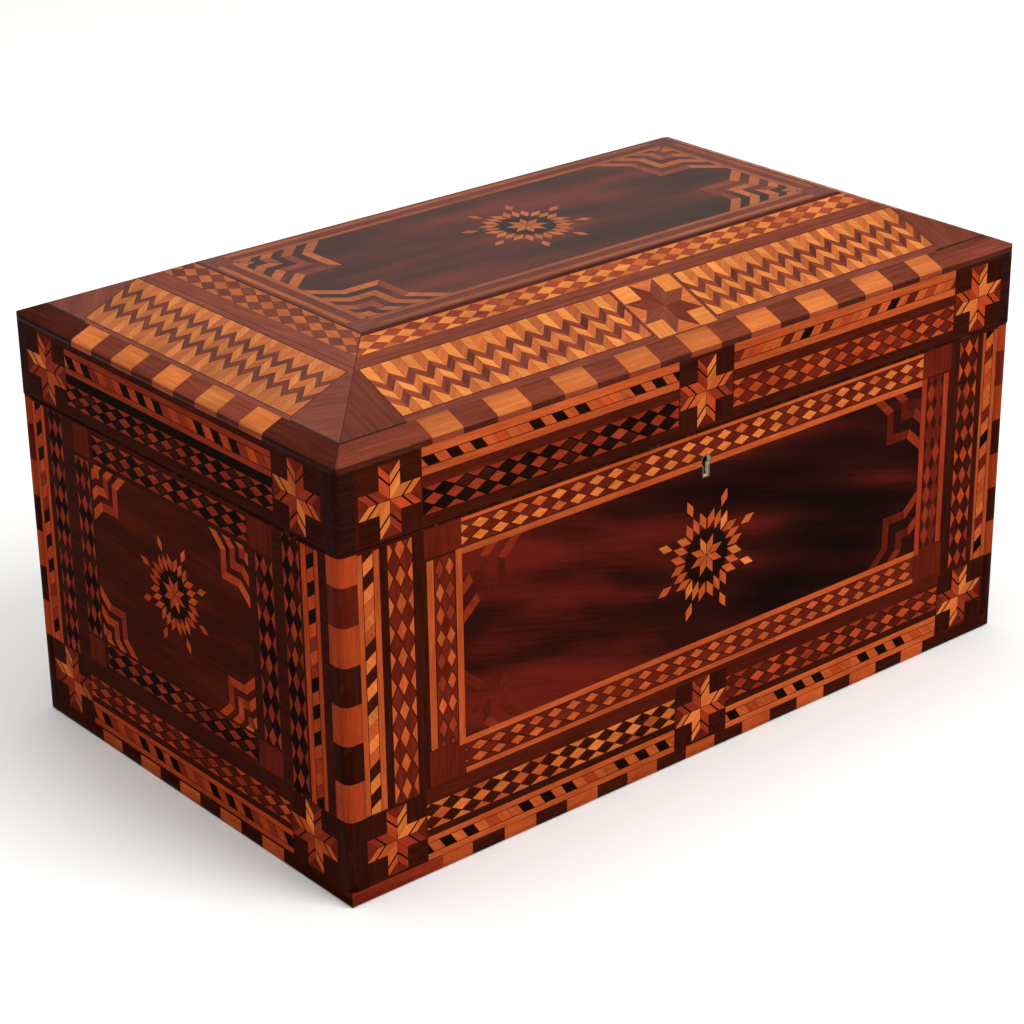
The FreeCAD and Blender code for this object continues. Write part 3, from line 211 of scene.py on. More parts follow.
def wood(name, deep, middle, pale, gloss=0.24, shine=0.1, figure=PLAIN_FIGURE, tiled=True):
    """Polished wood with fibres, pores and a figure; tiled wood reads the grain of each tile."""
    look = Look(name)
    if tiled:
        source = look.add("UVMap", uv_map="grain").outputs["UV"]
    else:
        centimetres = look.add("Mapping", {"Scale": (100.0, 100.0, 100.0)}, {"Vector": look.place()})
        source = centimetres.outputs["Vector"]
    along, across, weight = figure
    pores = look.noise(*PORES, source)
    fine = look.multiply_add(pores, PORE_WEIGHT, look.noise(*FIBRES, source))
    total = look.multiply_add(look.noise(along, across, FIGURE_DETAIL, source), weight, fine)
    centre = 0.5 * (1 + PORE_WEIGHT + weight)
    spread = 0.24 + 0.14 * weight
    stops = [(0.05, linear(*deep)), (0.5, linear(*middle)), (0.95, linear(*pale))]
    colour = look.ramp(look.rescaled(total, centre - spread, centre + spread), stops)
    if tiled:
        colour = edge_wear(look, tile_tint(look, colour))
    relief = look.add("Bump", {"Strength": 0.08, "Distance": 0.00005}, {"Height": pores})
    sources = {"Base Color": colour, "Normal": relief.outputs["Normal"]}
    return look.finish({"Roughness": gloss, "Specular IOR Level": shine}, sources)


def metal(name, colour, worn, gloss):
    """Polished or brushed metal with faint tarnish."""
    look = Look(name)
    mottled = look.ramp(look.noise(*TARNISH), [(0.3, worn), (0.62, colour)])
    return look.finish({"Metallic": 1.0, "Roughness": gloss}, {"Base Color": mottled})


def keyhole_brass_painted_light(name, front):
    """Brass that is dark at its front rim, painted pale just inside as light on the keyhole's lit inner wall,
    and dark further in as painted shade.
    """
    look = Look(name)
    reach = 0.0035
    split = look.add("SeparateXYZ", {}, {"Vector": look.place()})
    depth = look.rescaled(split.outputs["Y"], front, front + reach)
    rim, pale, dark = linear(96, 66, 38), linear(236, 224, 192), linear(30, 18, 12)
    # Pale stops: painted light on the inner wall; the last dark stop: painted shade deeper in the keyhole.
    colour = look.ramp(depth, [(0.02, rim), (0.1, pale), (0.42, pale), (0.62, dark)])
    return look.finish({"Metallic": 0.1, "Roughness": 0.5}, {"Base Color": colour})


def painted(name, colour, worn, gloss):
    look = Look(name)
    mottled = look.ramp(look.noise(*CLOUDS), [(0.35, worn), (0.6, colour)])
    return look.finish({"Roughness": gloss}, {"Base Color": mottled})


def clear_glass(name):
    colour = (0.93, 0.97, 0.96, 1.0)
    values = {"Base Color": colour, "Transmission Weight": 1.0, "Roughness": 0.02, "IOR": 1.45}
    return Look(name).finish(values)


# Woods of the parquetry: deep, middle and pale colour. The lid's slopes and top have browner woods, their
# darks greyed as painted sheen.
SIDE_COLOURS = {
    "light": ((178, 86, 37), (200, 104, 46), (217, 124, 60)),
    "amber": ((150, 60, 27), (175, 76, 35), (193, 93, 45)),
    "rust": ((144, 49, 21), (168, 61, 27), (186, 76, 35)),
    "red": ((110, 33, 18), (134, 44, 24), (154, 56, 32)),
    "mahogany": ((76, 22, 12), (96, 28, 15), (113, 36, 20)),
    "umber": ((57, 17, 8), (76, 23, 11), (92, 29, 15)),
    "dark": ((39, 12, 6), (55, 18, 9), (71, 24, 12)),
    "black": ((16, 6, 3), (25, 9, 5), (36, 13, 7)),
    "figure": ((20, 8, 6), (45, 14, 9), (96, 27, 18)),
    "stripe": ((44, 13, 6), (63, 18, 8), (84, 26, 11)),
}
LID_COLOURS = {
    "light": ((173, 95, 43), (194, 113, 53), (212, 133, 67)),
    "amber": ((150, 74, 37), (172, 88, 43), (190, 105, 53)),
    "red": ((112, 46, 29), (134, 58, 36), (152, 70, 45)),
    "mahogany": ((84, 31, 20), (102, 40, 26), (118, 50, 33)),
    "brown": ((88, 39, 27), (107, 50, 35), (126, 62, 45)),
    "dark": ((54, 21, 14), (70, 28, 19), (88, 38, 27)),
    "black": ((26, 13, 10), (38, 19, 14), (52, 27, 20)),
    "figure": ((41, 23, 16), (66, 31, 21), (105, 42, 29)),
}
# The edge banding is the most exposed, so its light blocks have darkened.
EDGE_COLOURS = {**LID_COLOURS, "light": ((157, 80, 40), (177, 96, 49), (194, 114, 61))}


def wood_set(place, colours, shine, gloss=0.24):
    """One material for each wood, with the gloss that its faces show."""
    woods = {}
    for kind, tones in colours.items():
        woods[kind] = wood(f"{kind}_{place}", *tones, gloss, shine, FIGURES.get(kind, PLAIN_FIGURE))
    return woods


SIDE_WOODS = wood_set("side", SIDE_COLOURS, 0.003)
SLOPE_WOODS = wood_set("slope", LID_COLOURS, 0.08, 0.5)
TOP_WOODS = wood_set("top", LID_COLOURS, 0.5)
EDGE_WOODS = wood_set("edge", EDGE_COLOURS, 0.008)

FINISHES = {
    "carcass": wood("carcass", (60, 24, 16), (96, 44, 28), (124, 62, 40), gloss=0.4, shine=0.2, tiled=False),
    "parquetry": SIDE_WOODS["dark"],
    "banding": SIDE_WOODS["mahogany"],
    "rosewood": wood("rosewood", (26, 10, 7), (40, 15, 10), (56, 21, 14), shine=0.005, tiled=False),
    "turned_wood": wood("turned_wood", (22, 13, 10), (38, 22, 17), (54, 32, 24), shine=0.4, tiled=False),
    "brass": metal("brass", (0.80, 0.58, 0.25, 1.0), (0.58, 0.39, 0.16, 1.0), 0.24),
    "steel": metal("steel", (0.62, 0.63, 0.66, 1.0), (0.42, 0.43, 0.46, 1.0), 0.26),
    "bed": painted("bed", (0.22, 0.15, 0.07, 1.0), (0.13, 0.09, 0.05, 1.0), 0.35),
    "pane": clear_glass("pane"),
}


# Flat patterns: tiles in millimetres, later tiles lying over earlier ones.

def area(points):
    before = points[-1:] + points[:-1]
    return sum(a[0] * b[1] - b[0] * a[1] for a, b in zip(before, points)) / 2


def clip(points, window):
    """The part of a polygon inside a convex, anticlockwise window, itself turned anticlockwise."""
    kept = points if area(points) > 0 else points[::-1]
    for index, start in enumerate(window):
        end = window[(index + 1) % len(window)]

        def side(p):
            return (end[0] - start[0]) * (p[1] - start[1]) - (end[1] - start[1]) * (p[0] - start[0])

        result = []
        for number, here in enumerate(kept):
            before = kept[number - 1]
            inside, was_inside = side(here) >= -1e-9, side(before) >= -1e-9
            if inside != was_inside:
                share = side(before) / (side(before) - side(here))
                result.append(tuple(a + share * (b - a) for a, b in zip(before, here)))
            if inside:
                result.append(here)
        kept = result
        if len(kept) < 3:
            return []
    return kept


def rectangle(across, heights):
    """Corners of a box from where it starts and ends across, and its two heights."""
    (x0, x1), (y0, y1) = across, heights
    return [(x0, y0), (x1, y0), (x1, y1), (x0, y1)]


def square(x, y, half):
    """Across and heights of a square about a point."""
    return (x - half, x + half), (y - half, y + half)


Tile = namedtuple("Tile", "kind outline grain tint shift")
SMALLEST_TILE = 0.02
LARGEST_SHIFT = 50


class Canvas:
    """What a pattern is drawn on."""

    def box(self, kind, across, heights, grain=None, tint=0.0, spread=0.2):
        if grain is None:
            grain = 0.0 if across[1] - across[0] >= heights[1] - heights[0] else 90.0
        self.tile(kind, rectangle(across, heights), grain, tint, spread)


class Mosaic(Canvas):
    """A veneered face: a ground and the tiles let into it."""

    def __init__(self, window, ground, grain=0.0):
        self.window = window
        self.tiles = []
        self.tile(ground, window, grain, 0.0, 0.0)

    def tile(self, kind, points, grain=0.0, tint=0.0, spread=0.4):
        """A tile cut from a chance place in its wood, with its tint spread by chance."""
        kept = clip(points, self.window)
        if len(kept) < 3 or area(kept) < SMALLEST_TILE:
            return
        shade = tint + spread * either_way()
        shift = (dice.random() * LARGEST_SHIFT, dice.random() * LARGEST_SHIFT)
        self.tiles.append(Tile(kind, kept, math.radians(grain), shade, shift))

    def panel(self, kind, across, heights, grain, shift):
        """A panel cut from a chosen place in the figure."""
        self.tiles.append(Tile(kind, rectangle(across, heights), math.radians(grain), 0.0, shift))


class Mirrored(Canvas):
    """A canvas seen in a mirror: x is measured back from the given length."""

    def __init__(self, canvas, length):
        self.canvas = canvas
        self.length = length

    def tile(self, kind, points, grain=0.0, tint=0.0, spread=0.4):
        flipped = [(self.length - x, y) for x, y in points]
        self.canvas.tile(kind, flipped, 180.0 - grain, tint, spread)


class Band(Canvas):
    """A strip of pattern: a runs along it and b across it."""

    def __init__(self, canvas, across, heights):
        (x0, x1), (y0, y1) = across, heights
        self.canvas = canvas
        self.corner = (x0, y0)
        self.upright = (y1 - y0) > (x1 - x0)
        self.length = max(x1 - x0, y1 - y0)
        self.width = min(x1 - x0, y1 - y0)
        self.window = rectangle((0, self.length), (0, self.width))

    def tile(self, kind, points, grain=0.0, tint=0.0, spread=0.4):
        kept = clip(points, self.window)
        if len(kept) < 3:
            return
        x, y = self.corner
        if self.upright:
            placed = [(x + b, y + a) for a, b in kept]
            grain = 90.0 - grain
        else:
            placed = [(x + a, y + b) for a, b in kept]
        self.canvas.tile(kind, placed, grain, tint, spread)

    def ground(self, kind):
        self.tile(kind, self.window, 0.0, 0.0, 0.1)


def stringing(canvas, kind, across, heights, tint=0.0):
    """A light line laid in short lengths."""
    band = Band(canvas, across, heights)
    usual_length = 75.0
    count = max(1, round(band.length / usual_length))
    for index in range(count):
        low, high = band.length * index / count, band.length * (index + 1) / count
        band.box(kind, (low, high), (0, band.width), tint=tint, spread=0.25)


# Woods of the even and of the odd rows of a net, the ground between, and how full the rows are.
Net = namedtuple("Net", "even odd ground even_share odd_share")
OUTER_NET = Net(("amber",), ("mahogany",), "umber", 0.8, 0.94)
FAR_NET = Net(("rust", "red"), ("dark",), "dark", 0.84, 0.86)
PANEL_NET = Net(("mahogany",), ("light", "light", "light", "amber"), "umber", 0.95, 0.84)
FOOT_NET = Net(("mahogany",), ("amber",), "umber", 0.94, 0.8)
UPRIGHT_NET = Net(("mahogany",), ("amber", "amber", "red"), "umber", 0.94, 0.82)
FAR_UPRIGHT_NET = Net(("dark",), ("red", "mahogany"), "mahogany", 0.75, 0.94)
# The low net's umber ground is lighter than dark as a painted reflection of the floor along the foot.
LOW_NET = Net(("light", "light", "light", "amber"), ("dark",), "umber", 0.92, 0.9)
RED_NET = Net(("red",), ("black", "black", "dark"), "black", 0.86, 0.9)
WARM_NET = Net(("rust", "red"), ("umber",), "dark", 0.88, 0.9)
LID_WARM_NET = Net(("rust", "rust", "amber"), ("mahogany",), "umber", 0.86, 0.92)
SLOPE_NET = Net(("light", "light", "amber"), ("red",), "red", 0.97, 0.82)
END_SLOPE_NET = Net(("amber",), ("brown",), "brown", 0.92, 0.9)


def lozenges(canvas, across, heights, net, pitch, start):
    """Hand-cut net of lozenges in five rows, the outer two cut in half; an even row has one at start."""
    band = Band(canvas, across, heights)
    shortest, uneven = 0.94, 0.12
    quarter = band.width / 4
    band.ground(net.ground)
    for row in range(5):
        shifted = row % 2
        woods, share = (net.odd, net.odd_share) if shifted else (net.even, net.even_share)
        half_b = share * quarter
        b = row * quarter
        for index in range(-1, int(band.length / pitch) + 2):
            a = start + (index + shifted / 2) * pitch
            half_a = share * pitch / 2 * (shortest + uneven * dice.random())
            outline = [(a - half_a, b), (a, b - half_b), (a + half_a, b), (a, b + half_b)]
            band.tile(dice.choice(woods), outline)


# Woods of a rope's tiles in turn: three dark ones between lights, then a run of lights.
ROPE = ["black", "amber", "black", "amber", "black", "amber", "rust", "amber", "amber"]
LIGHT_ROPE = ["dark", "light", "dark", "light", "dark", "amber", "light", "amber", "light"]
DIM_ROPE = ["mahogany", "amber", "black", "amber", "mahogany", "amber", "amber", "rust", "amber"]
END_ROPE = ["black", "rust", "black", "rust", "black", "red", "rust", "red", "rust"]


def rope(canvas, across, heights, start, woods):
    """Slanting tiles; start is the place in the woods of the first tile."""
    band = Band(canvas, across, heights)
    step, slant, joint = 5.0, 2.6, 0.15
    lean = -slant if band.upright else slant
    band.ground("black")
    for index in range(-2, int(band.length / step) + 3):
        low = index * step
        high = low + step - joint
        outline = [(low + lean, 0), (high + lean, 0), (high, band.width), (low, band.width)]
        band.tile(woods[(index + start) % len(woods)], outline, -40.0)


def corded_line(canvas, lines, along, start, string, woods, upright=False, tint=0.0):
    """Two strings with a rope between them; lines are the four heights or places across."""
    low, rope_low, rope_high, high = lines
    gap = 0.3

    def strip(*pair):
        return (pair, along) if upright else (along, pair)

    stringing(canvas, string, *strip(low, rope_low - gap), tint)
    stringing(canvas, string, *strip(rope_high + gap, high), tint)
    rope(canvas, *strip(rope_low, rope_high), start, woods)


# Chevrons: shares of the width that stripes are raised and thinned by, contrast of the lights, and the darks.
ChevronStyle = namedtuple("ChevronStyle", "raised thinned contrast falling_dark rising_tint")
LONG_CHEVRONS = ChevronStyle(0.0, 0.005, 0.1, "red", -0.55)
END_CHEVRONS = ChevronStyle(0.085, 0.018, -0.15, "brown", -0.2)
# Where the zigzag stripes change, as shares of the band's width.
CHEVRON_LEVELS = [-0.20, 0.19, 0.37, 0.54, 0.71, 1.20]


def chevrons(canvas, across, heights, style):
    """Columns of slanted tiles that read as zigzag stripes, light and dark by turns."""
    band = Band(canvas, across, heights)
    period, rise = 8.2, 4.4
    count = 2 * max(1, round(band.length / period))
    step = band.length / count
    joint, falling_tint = 0.07, -0.35
    band.ground("brown")
    for column in range(count):
        lean = 1 if column % 2 == 0 else -1
        woods = ("light", style.falling_dark) if lean > 0 else ("amber", "brown")
        tints = (style.contrast * lean, falling_tint if lean > 0 else style.rising_tint)
        left, right = column * step + joint, (column + 1) * step - joint
        drop = lean * rise / 2
        for index, (low, high) in enumerate(zip(CHEVRON_LEVELS, CHEVRON_LEVELS[1:])):
            dark = index % 2
            inset = style.thinned if dark else -style.thinned
            low = (low + style.raised + inset) * band.width
            high = (high + style.raised - inset) * band.width - joint
            outline = [(left, low + drop), (right, low - drop), (right, high - drop), (left, high + drop)]
            band.tile(woods[dark], outline, -45.0 * lean, tints[dark], 0.3)


def turned(centre, turn, points):
    """Points given out along an arm and to its left, turned about a centre."""
    c, s = math.cos(math.radians(turn)), math.sin(math.radians(turn))
    return [(centre[0] + out * c - left * s, centre[1] + out * s + left * c) for out, left in points]


def four_squares(canvas, kind, x, y, near, far, tint):
    """Squares in the four corners round a star."""
    for dx in (-1, 1):
        for dy in (-1, 1):
            across = sorted((x + dx * near, x + dx * far))
            heights = sorted((y + dy * near, y + dy * far))
            canvas.box(kind, across, heights, dice.choice((0.0, 90.0)), tint, 0.3)


# The diagonal that the bright quarters of a block star lie on, their woods, and the woods of the others.
FRONT_STAR = (45, ("light", "light", "amber"), ("red", "rust"))
END_STAR = (135, ("amber", "amber", "light"), ("red",))


def block_star(canvas, x, y, half, bright_turn, bright_woods, other_woods):
    """A star of eight rhombs whose arms each end in an outer chevron; two opposite quarters are bright."""
    wide = half * 0.335
    notch = half * 0.36
    tail_start, tail_end = notch + 0.9, half - wide
    line, gap = 0.12, 0.2
    canvas.box("black", *square(x, y, half), grain=0.0, spread=0.1)
    four_squares(canvas, "dark", x, y, wide + 0.1, half, -0.3)
    for arm in range(4):
        turn = arm * 90.0
        cap = [(tail_end + gap, 0), (half, -wide + gap), (half, wide - gap)]
        canvas.tile("mahogany", turned((x, y), turn, cap), turn, 0.1, 0.3)
        for hand in (-1, 1):
            bright = (turn + hand * 45 - bright_turn) % 180 == 0
            kind = dice.choice(bright_woods if bright else other_woods)
            for start, end, outer in ((line, notch, wide), (tail_start, tail_end, tail_start + wide)):
                rhomb = [(start, hand * line), (end, hand * line),
                         (end + wide, hand * wide), (outer, hand * wide)]
                canvas.tile(kind, turned((x, y), turn, rhomb), turn + hand * 40.0)


def dark_star(canvas, x, y, half):
    """A dark star of eight rhombs on a light square."""
    side = half / (1 + math.sqrt(0.5))
    wide = half - side
    border = 0.5
    canvas.box("brown", *square(x, y, half + border))
    canvas.box("amber", *square(x, y, half), grain=0.0, tint=0.2, spread=0.1)
    four_squares(canvas, "light", x, y, wide + 0.2, half, 0.1)
    for arm in range(4):
        for hand in (-1, 1):
            kind = "brown" if (hand > 0) == (arm % 2 == 0) else "mahogany"
            rhomb = [(0, 0), (side, 0), (half, hand * wide), (wide, hand * wide)]
            canvas.tile(kind, turned((x, y), arm * 90.0, rhomb), arm * 90.0 + hand * 22.0, -0.1 * hand)


# A medallion in units of which its reach has 25: the start, length and half width of its lozenges.
MEDALLION_REACH = 25.0
MEDALLION_DISC = 10.4
PETAL, RING_RAY, OUTER_RAY = (0.2, 7.8, 1.5), (9.6, 7.4, 1.6), (17.8, 7.0, 1.6)
RING_PAIR = (10.0, 7.6, 1.7)


def medallion(canvas, x, y, reach, woods):
    """A small star inside a ring of lozenges, with eight rays."""
    unit = reach / MEDALLION_REACH
    pair_gap, pair_spread = 0.5, 22.0

    def lozenge(foot, turn, length, wide):
        kind = dice.choice(woods)
        outline = [(0, 0), (length / 2, -wide), (length, 0), (length / 2, wide)]
        placed = [(x + unit * px, y + unit * py) for px, py in turned(foot, turn, outline)]
        canvas.tile(kind, placed, turn, 0.0, 0.35)

    disc = [turned((x, y), 15 * k, [(MEDALLION_DISC * unit, 0)])[0] for k in range(24)]
    canvas.tile("black", disc, 0.0, 0.4, 0.0)
    for ray in range(8):
        axis, between_axes = 45.0 * ray, 22.5 + 45.0 * ray
        for start, length, wide in (PETAL, RING_RAY, OUTER_RAY):
            lozenge(turned((0, 0), between_axes, [(start, 0)])[0], between_axes, length, wide)
        start, length, wide = RING_PAIR
        for hand in (-1, 1):
            foot = turned((0, 0), axis, [(start, hand * pair_gap)])[0]
            lozenge(foot, axis + hand * pair_spread, length, wide)


SPANDREL_PATH = [(1.0, 0.0), (0.72, 0.27), (0.72, 0.75), (0.28, 0.75), (0.0, 1.0)]


def spandrel(canvas, corner, inward, up, sizes, wide, end_woods, step_woods, tint):
    """Nested stepped lines in a corner: how far each reaches along both edges, and its width there."""

    def at(size):
        return [(corner[0] + inward * p * size, corner[1] + up * q * size) for p, q in SPANDREL_PATH]

    for size in sizes:
        outer, inner = at(size), at(max(size - wide, 0.3))
        for index in range(4):
            kind = dice.choice(end_woods if index in (0, 3) else step_woods)
            outline = [outer[index], outer[index + 1], inner[index + 1], inner[index]]
            canvas.tile(kind, outline, 45.0 * index, tint, 0.3)


def four_spandrels(canvas, across, heights, *details):
    for inward, x in zip((1, -1), across):
        for up, y in zip((1, -1), heights):
            spandrel(canvas, (x, y), inward, up, *details)


def keyhole_outline():
    """The brass liner's outline, let through the front veneer."""
    radius = (LINER_HIGH.x - LINER_LOW.x) / 2
    x = WIDTH / 2 + (LINER_HIGH.x + LINER_LOW.x) / 2
    centre = LINER_HIGH.z - radius
    start = math.acos(KEY_SLOT / radius)
    steps = 16
    angles = [-start + (math.pi + 2 * start) * k / steps for k in range(steps + 1)]
    arc = [(x + radius * math.cos(a), centre + radius * math.sin(a)) for a in angles]
    return [(x - KEY_SLOT, LINER_LOW.z), (x + KEY_SLOT, LINER_LOW.z)] + arc


def hinge_notches(canvas, heights):
    """Openings for the hinge leaves along the joint at the back."""
    for side in (-1, 1):
        middle = WIDTH / 2 + side * HINGE_MIDDLE
        canvas.box("hole", (middle - HINGE_HALF, middle + HINGE_HALF), heights)


# The faces.

def long_face(is_front):
    """Front or back of the body: places across from the left corner and heights from the floor."""
    m = Mosaic(rectangle((STICK, WIDTH - STICK), (PLINTH, RIM)), "dark")
    upright, to_rim, beside_panel = (32.3, 127.8), (32.3, RIM), (47.0, 117.0)
    rope_lines = (7.1, 9.4, 13.4, 16.0)
    far_rope_lines = [WIDTH - x for x in reversed(rope_lines)]
    corded_line(m, rope_lines, upright, 1, "amber", LIGHT_ROPE, True)
    corded_line(m, far_rope_lines, upright, 1, "amber", DIM_ROPE, True, -0.45)

    # The upright bands; the far ones are a mirror image, moved a little.
    mirror = WIDTH + 1.2
    near_side = (m, "amber", 0.0, (OUTER_NET, 9.84, 4.5), (UPRIGHT_NET, 8.42, 2.5))
    far_side = (Mirrored(m, mirror), "red", 0.3, (FAR_NET, 8.76, 4.1), (FAR_UPRIGHT_NET, 8.38, 0.9))
    for canvas, string, tint, outer_net, inner_net in (near_side, far_side):
        canvas.box("dark", (16.3, 19.3), to_rim, tint=-0.3)
        lozenges(canvas, (19.4, 29.4), upright, *outer_net)
        canvas.box("dark", (29.5, 35.1), to_rim, tint=-0.2)
        for block in ((117.9, 128.6), (32.6, 46.8)):
            canvas.box("mahogany", (34.4, 49.8), block, grain=90.0, tint=-0.2, spread=0.1)
        stringing(canvas, string, (35.2, 38.0), beside_panel, tint)
        lozenges(canvas, (38.4, 46.8), beside_panel, *inner_net)
        stringing(canvas, string, (47.3, 50.0), (44.6, 117.6), tint)

    # The level bands over and under the panel, and the panel.
    left, right = 50.0, mirror - 50.0
    for heights in ((127.0, 128.3), (115.2, 117.6), (44.5, 46.8), (33.2, 35.2)):
        stringing(m, "amber", (left, right), heights)
    lozenges(m, (left, right), (118.0, 126.7), PANEL_NET, 8.58, 3.8)
    lozenges(m, (left, right), (35.5, 44.2), FOOT_NET, 8.5, 1.7)
    panel = ((left + 0.2, right - 0.2), (46.9, 115.1))
    m.panel("figure", *panel, -15.0, (2.0, 35.0))
    four_spandrels(m, *panel, (25.5, 15.0), 4.6, ("mahogany", "red"), ("mahogany",), -0.5)
    medallion(m, WIDTH / 2 + 0.9, 80.0, 25.6, ("amber", "amber", "light"))

    # The bands along the foot, between three stars.
    # The strip over the foot bands is umber, lighter as a painted reflection of the floor.
    m.box("umber", (32.4, WIDTH - 32.4), (27.1, 33.1), tint=-0.1)
    left_span = ((32.6, 147.2), (LOW_NET, 8.8, 6.2), 1)
    right_span = ((173.2, 287.8), (WARM_NET, 8.8, 7.3), 4)
    for across, net, rope_start in (left_span, right_span):
        lozenges(m, across, (17.3, 26.9), *net)
        corded_line(m, (5.4, 8.0, 11.9, 14.4), across, rope_start, "amber", ROPE)
    for x in (19.6, 160.3, 300.9):
        block_star(m, x, 18.7, 12.6, *FRONT_STAR)
    if is_front:
        m.tile("hole", keyhole_outline(), spread=0.0)
    else:
        hinge_notches(m, (RIM - LEAF, RIM))
    return m


def end_face():
    """Left or right end of the body, drawn with the front corner at the right hand."""
    m = Mosaic(rectangle((STICK, DEPTH - STICK), (PLINTH, RIM)), "dark")
    upright, beside_panel = (32.0, 127.8), (44.8, 115.2)

    # The upright bands at the front corner, measured from there, and those at the back corner.
    front = Mirrored(m, DEPTH)
    front_rope_lines = [DEPTH - y for y in (20.6, 17.6, 13.8, 11.4)]
    corded_line(m, front_rope_lines, upright, 4, "rust", END_ROPE, True)
    lozenges(front, (21.8, 30.8), upright, RED_NET, 9.18, 6.4)
    lozenges(front, (37.0, 46.6), beside_panel, RED_NET, 9.14, 3.0)
    corded_line(m, (7.2, 9.2, 12.8, 15.2), upright, 3, "rust", END_ROPE, True)
    lozenges(m, (18.2, 26.6), upright, RED_NET, 8.68, 2.8)
    lozenges(m, (34.6, 43.4), beside_panel, RED_NET, 8.74, 0.1)
    for canvas, across in ((front, (36.6, 50.4)), (m, (34.4, 44.6))):
        for block in ((116.4, 127.8), (33.4, 43.9)):
            canvas.box("mahogany", across, block, grain=90.0, tint=-0.4, spread=0.1)

    # The level bands and the panel.
    left, right = 45.0, 141.0
    lozenges(m, (left + 2.0, right), (117.6, 126.6), RED_NET, 8.88, 3.4)
    lozenges(m, (left + 2.0, right), (34.7, 43.8), RED_NET, 9.06, 7.6)
    panel = ((left, right), (44.9, 115.4))
    m.box("stripe", *panel, grain=0.0, spread=0.0)
    four_spandrels(m, *panel, (22.4, 14.7, 7.0), 4.3, ("rust", "amber"), ("rust", "red"), 0.0)
    medallion(m, 94.2, 81.0, 22.0, ("rust", "rust", "amber"))

    # The bands along the foot, between two stars.
    m.box("dark", (33.0, 159.0), (26.6, 32.0), tint=-0.2)
    lozenges(m, (32.6, 158.4), (17.8, 26.0), WARM_NET, 8.66, 1.4)
    corded_line(m, (6.1, 8.5, 12.8, 15.1), (33.4, 159.0), 3, "rust", END_ROPE)
    for x in (20.2, 171.8):
        block_star(m, x, 18.8, 12.8, *END_STAR)
    return m


# A stretch of a lid side between two stars; a mirrored one has its rope laid from the other end.
Span = namedtuple("Span", "across net rope_start rope_woods mirrored")


def lid_face(length, lines, string, strip, star, centres, spans):
    """A side of the lid, between its dark corner sticks; heights are from the joint."""
    m = Mosaic(rectangle((STICK, length - STICK), (0, LID_VENEER_TOP - RIM)), "dark")
    net_low, net_high, *cord = lines
    gap = 0.2
    for span in spans:
        x0, x1 = span.across
        m.box("dark", span.across, (0.0, net_low), tint=-0.1)
        m.box(strip, span.across, (net_high + gap, cord[0] - gap))
        lozenges(m, span.across, (net_low, net_high), *span.net)
        canvas = Mirrored(m, length) if span.mirrored else m
        along = (length - x1, length - x0) if span.mirrored else (x0, x1)
        corded_line(canvas, cord, along, span.rope_start, string, span.rope_woods)
    for x in centres:
        block_star(m, x, 14.4, 12.8, *star)
    return m


def slope_face(length, chevron_spans, chevron_style, star_at, heights, net, hip_grain, hip_tint, line_tint):
    """A slope of the lid; heights run up the slope from the arris."""
    low, high, net_low, net_high = heights
    outline = [(EDGE_RUN, SLOPE_START), (length - EDGE_RUN, SLOPE_START), (length - INSET, SLOPE_END),
               (INSET, SLOPE_END)]
    m = Mosaic(outline, "brown", 8.0)
    whole = (0.0, length)
    gap, border = 0.3, 0.4
    hip, seam_end, seam, hip_joint = (0.0, 35.5), 35.0, 0.7, 0.25
    for canvas in (m, Mirrored(m, length)):
        canvas.box("brown", hip, (SLOPE_START, SLOPE_END), hip_grain, hip_tint, 0.1)
    first, last = chevron_spans[0][0], chevron_spans[-1][1]
    m.box("brown", (first, last), (SLOPE_START, low - gap), tint=line_tint)
    m.box("brown", whole, (high + gap, net_low - gap), tint=line_tint)
    m.box("mahogany", whole, (high + 2.2, high + 2.6))
    for x0, x1 in chevron_spans:
        m.box("dark", (x0 - border, x1 + border), (low - border, high + border))
        chevrons(m, (x0, x1), (low, high), chevron_style)
    if star_at is not None:
        star_drop, star_half = 0.8, 13.8
        dark_star(m, star_at, (low + high) / 2 - star_drop, star_half)
    lozenges(m, whole, (net_low, net_high), *net)
    m.box("dark", whole, (net_high + 0.1, SLOPE_END), tint=-0.1)
    for canvas in (m, Mirrored(m, length)):
        hip_line = [(0, 0), (hip_joint, 0), (INSET + hip_joint, SLOPE_END), (INSET, SLOPE_END)]
        canvas.tile("dark", hip_line, spread=0.2)
        canvas.box("black", (0.0, seam_end), (SLOPE_START, SLOPE_START + seam), tint=0.4)
    return m


def top_face():
    """The flat panel on the lid, drawn from above with the front at the bottom."""
    m = Mosaic(rectangle((0, TOP_WIDTH), (0, TOP_DEPTH)), "mahogany")
    edge, string_tint = 10.0, -0.8
    panel = ((edge, TOP_WIDTH - edge), (edge, TOP_DEPTH - edge))
    for inset, wide in ((1.5, 2.4), (7.7, 2.2)):
        for y in (inset, TOP_DEPTH - inset - wide):
            stringing(m, "amber", panel[0], (y, y + wide), string_tint)
        for x in (inset, TOP_WIDTH - inset - wide):
            stringing(m, "amber", (x, x + wide), panel[1], string_tint)
    m.panel("figure", *panel, -5.0, (26.0, 14.0))
    for x in (0.0, TOP_WIDTH - edge):
        for y in (0.0, TOP_DEPTH - edge):
            m.box("brown", (x, x + edge), (y, y + edge), tint=-0.4)
    four_spandrels(m, *panel, (36.5, 26.4, 16.3, 6.6), 5.2, ("amber",), ("amber", "red"), -0.35)
    medallion(m, TOP_WIDTH / 2, TOP_DEPTH / 2, 25.6, ("amber",))
    return m


